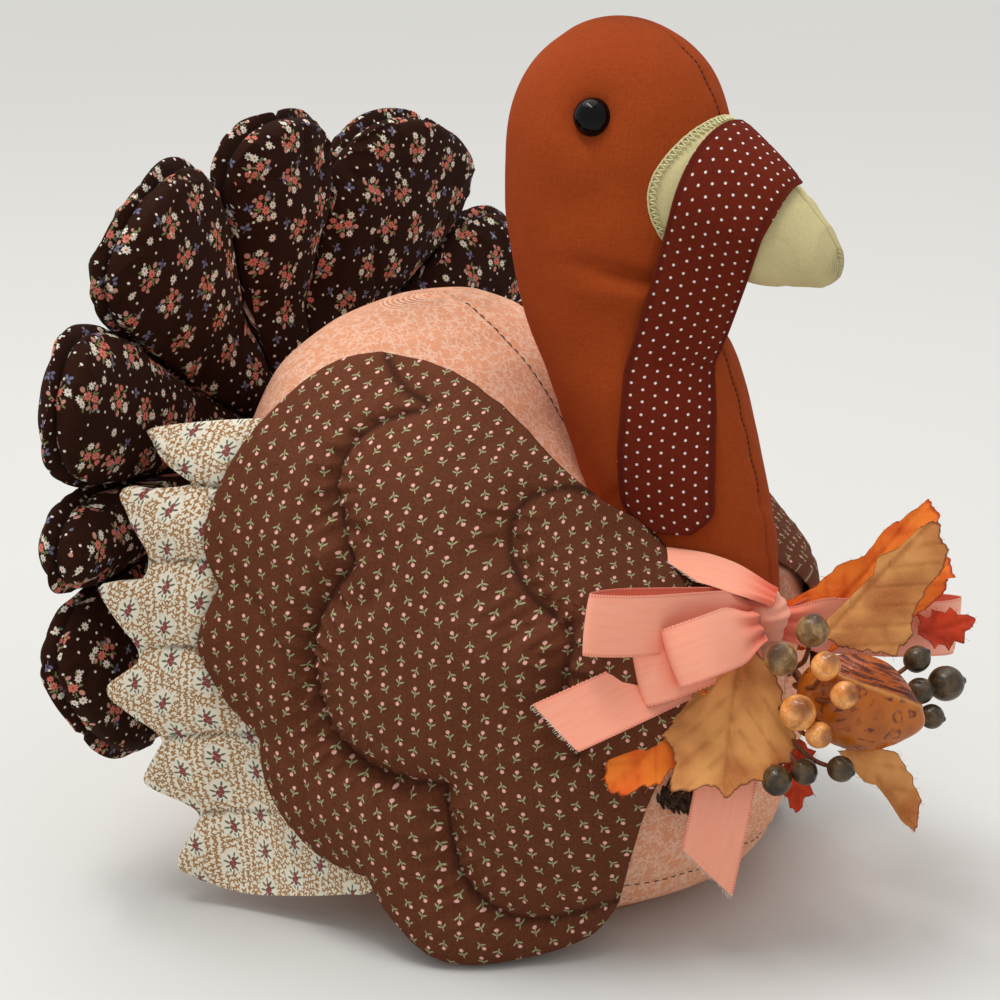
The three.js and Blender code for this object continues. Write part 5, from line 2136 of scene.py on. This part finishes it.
@dataclass(frozen=True)
class Leaf:
    """One cloth leaf: where its stalk is, where its tip is, which way it faces, and its half outline."""

    node: str
    look: Finish
    length: float
    half: float
    bend: float
    at: Point
    tip: Point
    face: Point
    seed: int = 1
    lobes: Rows = HOLLY
    other: Rows = HOLLY

    def build(self) -> None:
        """Makes the leaf with a toothed edge, pressed veins and a little curl."""
        one = [(u * self.length, v * self.half) for u, v in self.lobes]
        other = [(u * self.length, -v * self.half) for u, v in self.other]
        outline = closed([(0, 0), *other, (self.length, 0), *reversed(one)])
        fine = self._toothed(outline)
        form = Form(self.node + "_cloth", 300, 40)
        x, y, reach, face = pad_places(form, fine, (0.42 * self.length, 0), 0.4)
        lift = self.bend * ((x / self.length - 0.42) ** 2 * 4 - (y / self.half) ** 2 * 0.5)
        flat = np.stack([x, y, np.full(len(x), 33.0 * self.seed)], 1)
        slanted = ((x - np.abs(y) * 1.15) / 11.0) % 1.0 - 0.5
        veins = hill(y, 1.2) + 0.5 * hill(slanted * 11, 1.2)
        lift += (3.2 * lumps(flat, 17, self.seed) + 0.9 * lumps(flat, 7, self.seed + 3)) * reach
        lift -= 0.7 * veins
        lift += np.where(face, 0.22, -0.22)
        axes = Axes(self.at, tuple(np.subtract(self.tip, self.at)), self.face)
        form.place(axes.lay(x, y, lift))
        form.mark("rim", reach)
        form.lay_cloth(y, x)
        piece = form.piece(self.look, self.node)
        self._threads(fine, axes)

    def _toothed(self, outline: Numbers) -> Numbers:
        """Rounds and roughens the outline as a cut cloth edge is.

        Args:
            outline: The plain outline.

        Returns:
            The cut outline.
        """
        run = run_along(outline)
        line = read_line(np.linspace(0, run[-1], 601), run, outline)
        middle = np.array([0.42 * self.length, 0])
        away = line - middle
        flat = np.concatenate([line, np.zeros((len(line), 1))], 1)
        rough = 0.07 * lumps(flat, 4.0, self.seed + 5) + 0.025 * lumps(flat, 1.3, self.seed + 6)
        rough[-1] = rough[0]
        return middle + away * (1 + rough)[:, None]

    @staticmethod
    def _area(outline: Numbers) -> float:
        """Area inside a closed outline."""
        x, y = outline.T
        return abs(float(np.sum(x[:-1] * y[1:] - x[1:] * y[:-1]))) / 2

    def _threads(self, outline: Numbers, axes: Axes) -> None:
        """Lets a few fibres stand out from the cut edge.

        Args:
            outline: The cut outline.
            axes: The leaf's axes.
        """
        dice = np.random.default_rng(self.seed)
        threads = []
        for k in dice.integers(0, len(outline) - 1, 26):
            x, y = outline[k]
            away = unit(np.array([[x - 0.42 * self.length, y]]))[0]
            step = np.linspace(-0.3, 1, 4)
            length, bend = dice.uniform(0.6, 2.0), dice.uniform(-0.8, 0.8)
            height = self.bend * ((x / self.length - 0.42) ** 2 * 4 - (y / self.half) ** 2 * 0.5)
            path = axes.lay(
                x + away[0] * length * step - away[1] * bend * step**2,
                y + away[1] * length * step + away[0] * bend * step**2, height + bend * step**2,
            )
            threads.append(tube("fibre", path, 0.06, 4))
        joined(self.node + "_fibres", threads).piece(self.look)


@dataclass(frozen=True)
class Sprig:
    """Berries on wired stalks from one root: centre, radius and skin of each."""

    node: str
    root: Point
    berries: tuple

    def build(self) -> None:
        """Makes the stalks and the berries."""
        stalks = []
        for k, (x, y, z, radius, look) in enumerate(self.berries, 1):
            centre = np.array([x, y, z], float)
            root = np.array(self.root, float)
            middle = (root + centre) / 2 + np.array([2.5, -2.5, -3.0])
            path = smooth_line([root, middle, centre], 18)
            stalks.append(tube("stalk", path, np.linspace(1.1, 0.75, len(path)), 8))
            ahead = unit((centre - middle)[None])[0]
            form = Form(f"{self.node}_{k}_skin", 40, 28)
            ball = form.at.copy()
            bent = form.turn / 2 + 0.25 * ball[:, 2] + k
            groove = hill(np.sin(bent), 0.06) * np.sqrt(np.maximum(1 - ball[:, 2] ** 2, 0))
            wrinkle = 1 + 0.02 * lumps(ball, 0.6, k) - 0.09 * groove
            nub = 1 + 0.12 * hill(ball[:, 2] - 1, 0.02)
            axes = Axes((x, y, z), tuple(ahead), (0.3, -0.5, 0.8))
            shaped = ball * (wrinkle * nub * radius)[:, None]
            form.place(axes.lay(shaped[:, 2] * 1.04, shaped[:, 1], shaped[:, 0]))
            form.mark("slit", 0.7 * groove * ease(1 - np.abs(ball[:, 2]), 0.02, 0.2))
            form.mark("cap", ease(ball[:, 2], 0.6, 0.95))
            form.piece(look)
        joined(self.node + "_stalks", stalks).piece(STALK, self.node)


@dataclass
class Pod:
    """Half shell of a nut: a flat oval face, a streaked rim and a point."""

    half: Point = (24, 12, 18)
    taper: float = 0.45
    axes: Axes = Axes((170, -25, 99), (0.86, 0.42, -0.3), (0.2, 0.2, 1))

    def build(self) -> None:
        """Makes the shell."""
        form = Form("pod_shell_half", 96, 72)
        x, y, z = form.at[:, 2], form.at[:, 1], form.at[:, 0]
        pointed = 1 - self.taper * np.maximum(0, x) ** 2
        long, wide, deep = self.half
        at = self.axes.lay(x * long, y * wide * pointed, z * deep * pointed)
        band = ease(z, 0.5, 0.58)
        lip = hill(z - 0.5, 0.035)
        out = unit(at - np.array(self.axes.origin))
        form.place(at + out * (0.5 * lip - 0.5 * band + 0.3 * lumps(at, 5, 31))[:, None])
        form.mark("rim", band)
        form.mark("lip", lip)
        form.lay_cloth(z * deep, x * long)
        form.piece(POD_SHELL, "pod")


@dataclass
class Cone:
    """Small pine cone of overlapping scales."""

    half: Point = (20, 9, 10)
    axes: Axes = Axes((118, -49, 61), (0.9, 0.35, 0.05), (0, 0, 1))
    scales: int = 78

    def build(self) -> None:
        """Sets the scales in a spiral on the cone's core."""
        forms = []
        golden = math.radians(137.5)
        for k in range(self.scales):
            share = (k + 0.5) / self.scales
            x = 2 * share - 1
            radius = math.sqrt(max(1 - x * x, 0.0))
            angle = k * golden
            forms.append(self._scale(x, radius, angle))
        core = Form("core", 20, 14)
        ball = core.at.copy()
        core.place(self.axes.lay(ball[:, 2] * 18, ball[:, 1] * 6.5, ball[:, 0] * 7.5))
        joined("pine_cone_scales", [core, *forms]).piece(CONE_SCALE, "pine_cone")

    def _scale(self, x: float, radius: float, angle: float) -> Form:
        """Makes one scale, tilted out from the core.

        Args:
            x: Place along the core, from -1 to 1.
            radius: Share of the core's radius there.
            angle: Angle round the core.

        Returns:
            The scale.
        """
        form = Form("scale", 8, 6)
        long, wide, deep = self.half
        middle = np.array([x * long * 0.9, radius * wide * 0.74 * math.cos(angle),
                           radius * deep * 0.74 * math.sin(angle)])
        out = unit(np.array([[0.55, math.cos(angle), math.sin(angle)]]))[0]
        side = unit(np.cross(out, (1.0, 0.0, 0.0))[None])[0]
        flat = unit(np.cross(side, out)[None])[0]
        a, b, c = form.at.T
        local = middle + np.outer(c * 2.6, out) + np.outer(a * 2.6, side) + np.outer(b * 0.7, flat)
        return form.place(self.axes.lay(*local.T))


@dataclass
class Spray:
    """Leaves, berries, a pod and a cone wired at the knot."""

    leaves: tuple = (
        Leaf("leaf_orange_top", LEAF_ORANGE, 80, 27, -4,
             (136, -6.5, 107.5), (165.2, 47.6, 159.5), (0.5, -0.82, 0.28), 2,
             ((0.06, 0.3), (0.13, 0.58), (0.28, 0.4), (0.42, 0.38), (0.55, 0.18), (0.73, 0.2), (0.88, 0.06)),
             ((0.08, 0.3), (0.25, 0.6), (0.45, 0.85), (0.64, 1.0), (0.74, 0.92), (0.78, 1.02), (0.82, 0.72),
              (0.87, 0.5), (0.95, 0.22))),
        Leaf("leaf_tan_top", LEAF_TAN, 64, 27, 4,
             (148.4, -13.6, 115.8), (170.8, 32.9, 153.4), (0.52, -0.8, 0.3), 3,
             ((0.1, 0.15), (0.3, 0.12), (0.5, 0.1), (0.6, 0.22), (0.74, 0.1), (0.9, 0.08)),
             ((0.05, 0.28), (0.15, 0.62), (0.25, 0.89), (0.42, 0.9), (0.5, 0.68), (0.68, 0.58), (0.84, 0.55),
              (0.93, 0.3))),
        Leaf("leaf_red_side", LEAF_RED, 27, 9, 2,
             (171, 22, 112), (182.6, 44.2, 112), (0.55, -0.5, 0.66), 4),
        Leaf("leaf_tan_front", LEAF_TAN, 57, 27, 5,
             (128.5, -39.5, 117.8), (134.9, -65.2, 66.9), (0.6, -0.75, 0.25), 5,
             ((0.04, 0.24), (0.14, 0.48), (0.3, 0.68), (0.51, 0.92), (0.6, 1.0), (0.61, 0.89), (0.7, 0.87),
              (0.75, 0.6), (0.85, 0.5), (0.85, 0.32), (0.92, 0.14)),
             ((0.11, 0.19), (0.3, 0.46), (0.37, 0.72), (0.43, 0.68), (0.48, 0.83), (0.56, 0.78), (0.65, 0.93),
              (0.71, 0.78), (0.8, 0.71), (1.0, 0.78), (0.97, 0.51), (0.92, 0.24), (0.95, 0.09))),
        Leaf("leaf_orange_low", LEAF_ORANGE, 55, 13, 6,
             (118, -49, 104), (101.3, -89.1, 70.7), (0.5, -0.8, 0.4), 6,
             ((0.08, 0.4), (0.25, 0.85), (0.45, 1.0), (0.6, 0.86), (0.72, 0.9), (0.84, 0.55), (0.94, 0.4)),
             ((0.08, 0.4), (0.25, 0.8), (0.45, 0.92), (0.7, 0.8), (0.86, 0.6), (0.95, 0.36))),
        Leaf("leaf_tan_low", LEAF_TAN, 37, 11, 4,
             (167, -21, 80), (189.6, -16.7, 50), (0.5, -0.85, 0.2), 7,
             ((0.05, 0.5), (0.3, 1.0), (0.57, 0.96), (0.78, 0.75), (0.88, 0.45)),
             ((-0.1, 0.6), (0.15, 0.5), (0.33, 0.45), (0.42, 0.18), (0.6, 0.14), (0.85, 0.16))),
        Leaf("leaf_red_low", LEAF_RED, 28, 8, 2,
             (150, -34, 84), (152.9, -40.8, 56.7), (0.6, -0.78, 0.2), 8),
    )
    sprigs: tuple = (
        Sprig("berries_top", (140, -22, 106),
              ((145, -41, 116, 6, BERRY_OLIVE), (151, -28, 124, 6, BERRY_OLIVE))),
        Sprig("berries_orange", (147, -33, 104),
              ((163, -42, 117, 5.3, BERRY_AMBER), (171, -43, 108, 5, BERRY_AMBER))),
        Sprig("berries_middle", (144, -38, 96),
              ((157, -51, 101, 6.5, BERRY_AMBER), (164, -48, 93, 4.8, BERRY_AMBER))),
        Sprig("berries_low", (142, -36, 88),
              ((150, -52, 74, 5.5, BERRY_DARK), (158, -46, 77, 4.8, BERRY_DARK),
               (169, -39, 78, 4.8, BERRY_DARK))),
        Sprig("berries_side", (154, 0, 98),
              ((178, 6, 108, 5, BERRY_DARK), (187, 13, 98, 6.6, BERRY_DARK),
               (181, 3, 97, 5, BERRY_DARK), (186, 3, 88, 4.6, BERRY_DARK))),
    )
    pod: Pod = field(default_factory=Pod)
    cone: Cone = field(default_factory=Cone)

    def build(self) -> None:
        """Makes everything in the spray."""
        self.pod.build()
        self.cone.build()
        path = smooth_line(((132, -18, 112), (139, -19, 105), (146, -20, 98)), 10)
        tube("spray_stem", path, 1.6, 10).piece(STALK, "spray_wire")
        for sprig in self.sprigs:
            sprig.build()
        for leaf in self.leaves:
            leaf.build()


# Studio


@dataclass
class Studio:
    """Pale table, soft lamps and the camera."""

    eye: Point = (0.5094, -0.8152, 0.4192)
    target: Point = (0.0, 0.0, 0.1436)
    lens: float = 90.0
    from_above: Point = (-0.45, 0.15, 1.5)
    softness: float = 60.0
    power: float = 1.4
    glow: float = 0.68
    softbox: Point = (-0.3, -0.45, 2.0)
    softbox_size: tuple[float, float] = (1.4, 0.25)
    softbox_power: float = 16.0

    def build(self) -> None:
        """Makes the camera, the light, the world and the table."""
        self._camera()
        self._sun()
        self._world()
        self._table()

    def _camera(self) -> None:
        """Puts the camera where the photograph was taken from."""
        data = bpy.data.cameras.new("camera")
        data.lens = self.lens
        bpy.context.scene.camera = self._aim(data, self.eye, self.target)

    def _sun(self) -> None:
        """Adds a wide soft light from above and a long narrow one for glints on gloss."""
        overhead = bpy.data.lights.new("overhead", "SUN")
        overhead.angle = math.radians(self.softness)
        overhead.energy = self.power
        self._aim(overhead, self.from_above)
        softbox = bpy.data.lights.new("softbox", "AREA")
        softbox.shape = "RECTANGLE"
        softbox.size, softbox.size_y = self.softbox_size
        softbox.energy = self.softbox_power
        self._aim(softbox, self.softbox)

    @staticmethod
    def _aim(data: bpy.types.ID, place: Point, target: Point = (0.0, 0.0, 0.0)) -> bpy.types.Object:
        """Puts a camera or a lamp at a place.

        Args:
            data: The camera or the lamp.
            place: Where it stands.
            target: What it points at.

        Returns:
            Its object.
        """
        made = bpy.data.objects.new(data.name, data)
        made.location = place
        made.rotation_euler = (Vector(target) - Vector(place)).to_track_quat("-Z", "Y").to_euler()
        bpy.context.scene.collection.objects.link(made)
        return made

    def _world(self) -> None:
        """Lights everything evenly."""
        world = bpy.data.worlds.new("studio")
        bpy.context.scene.world = world
        world.use_nodes = True
        backdrop = world.node_tree.nodes["Background"]
        backdrop.inputs["Color"].default_value = colour("#ffffff")
        backdrop.inputs["Strength"].default_value = self.glow

    @staticmethod
    def _table() -> None:
        """Lays the table."""
        build = bmesh.new()
        bmesh.ops.create_grid(build, x_segments=1, y_segments=1, size=6)
        mesh = bpy.data.meshes.new("table")
        build.to_mesh(mesh)
        build.free()
        table = bpy.data.objects.new("table", mesh)
        table.data.materials.append(Table("table_paper").material())
        bpy.context.scene.collection.objects.link(table)


def main() -> None:
    """Builds every piece in order."""
    logging.basicConfig(level=logging.INFO, format="%(message)s")
    bpy.context.scene.view_settings.view_transform = "Standard"
    Studio().build()
    Body().build()
    neck = NeckAndHead()
    neck.build()
    beak = Beak(neck)
    beak.build()
    Eyes(neck.eye).build()
    Wattle(neck, beak).build()
    lining = Lining()
    wing = Wing(lining)
    under = UnderFeathers(lining)
    for side in Side:
        wing.build(side)
        under.build(side)
    TailFan().build()
    Bow().build()
    Spray().build()


if __name__ == "__main__":
    main()
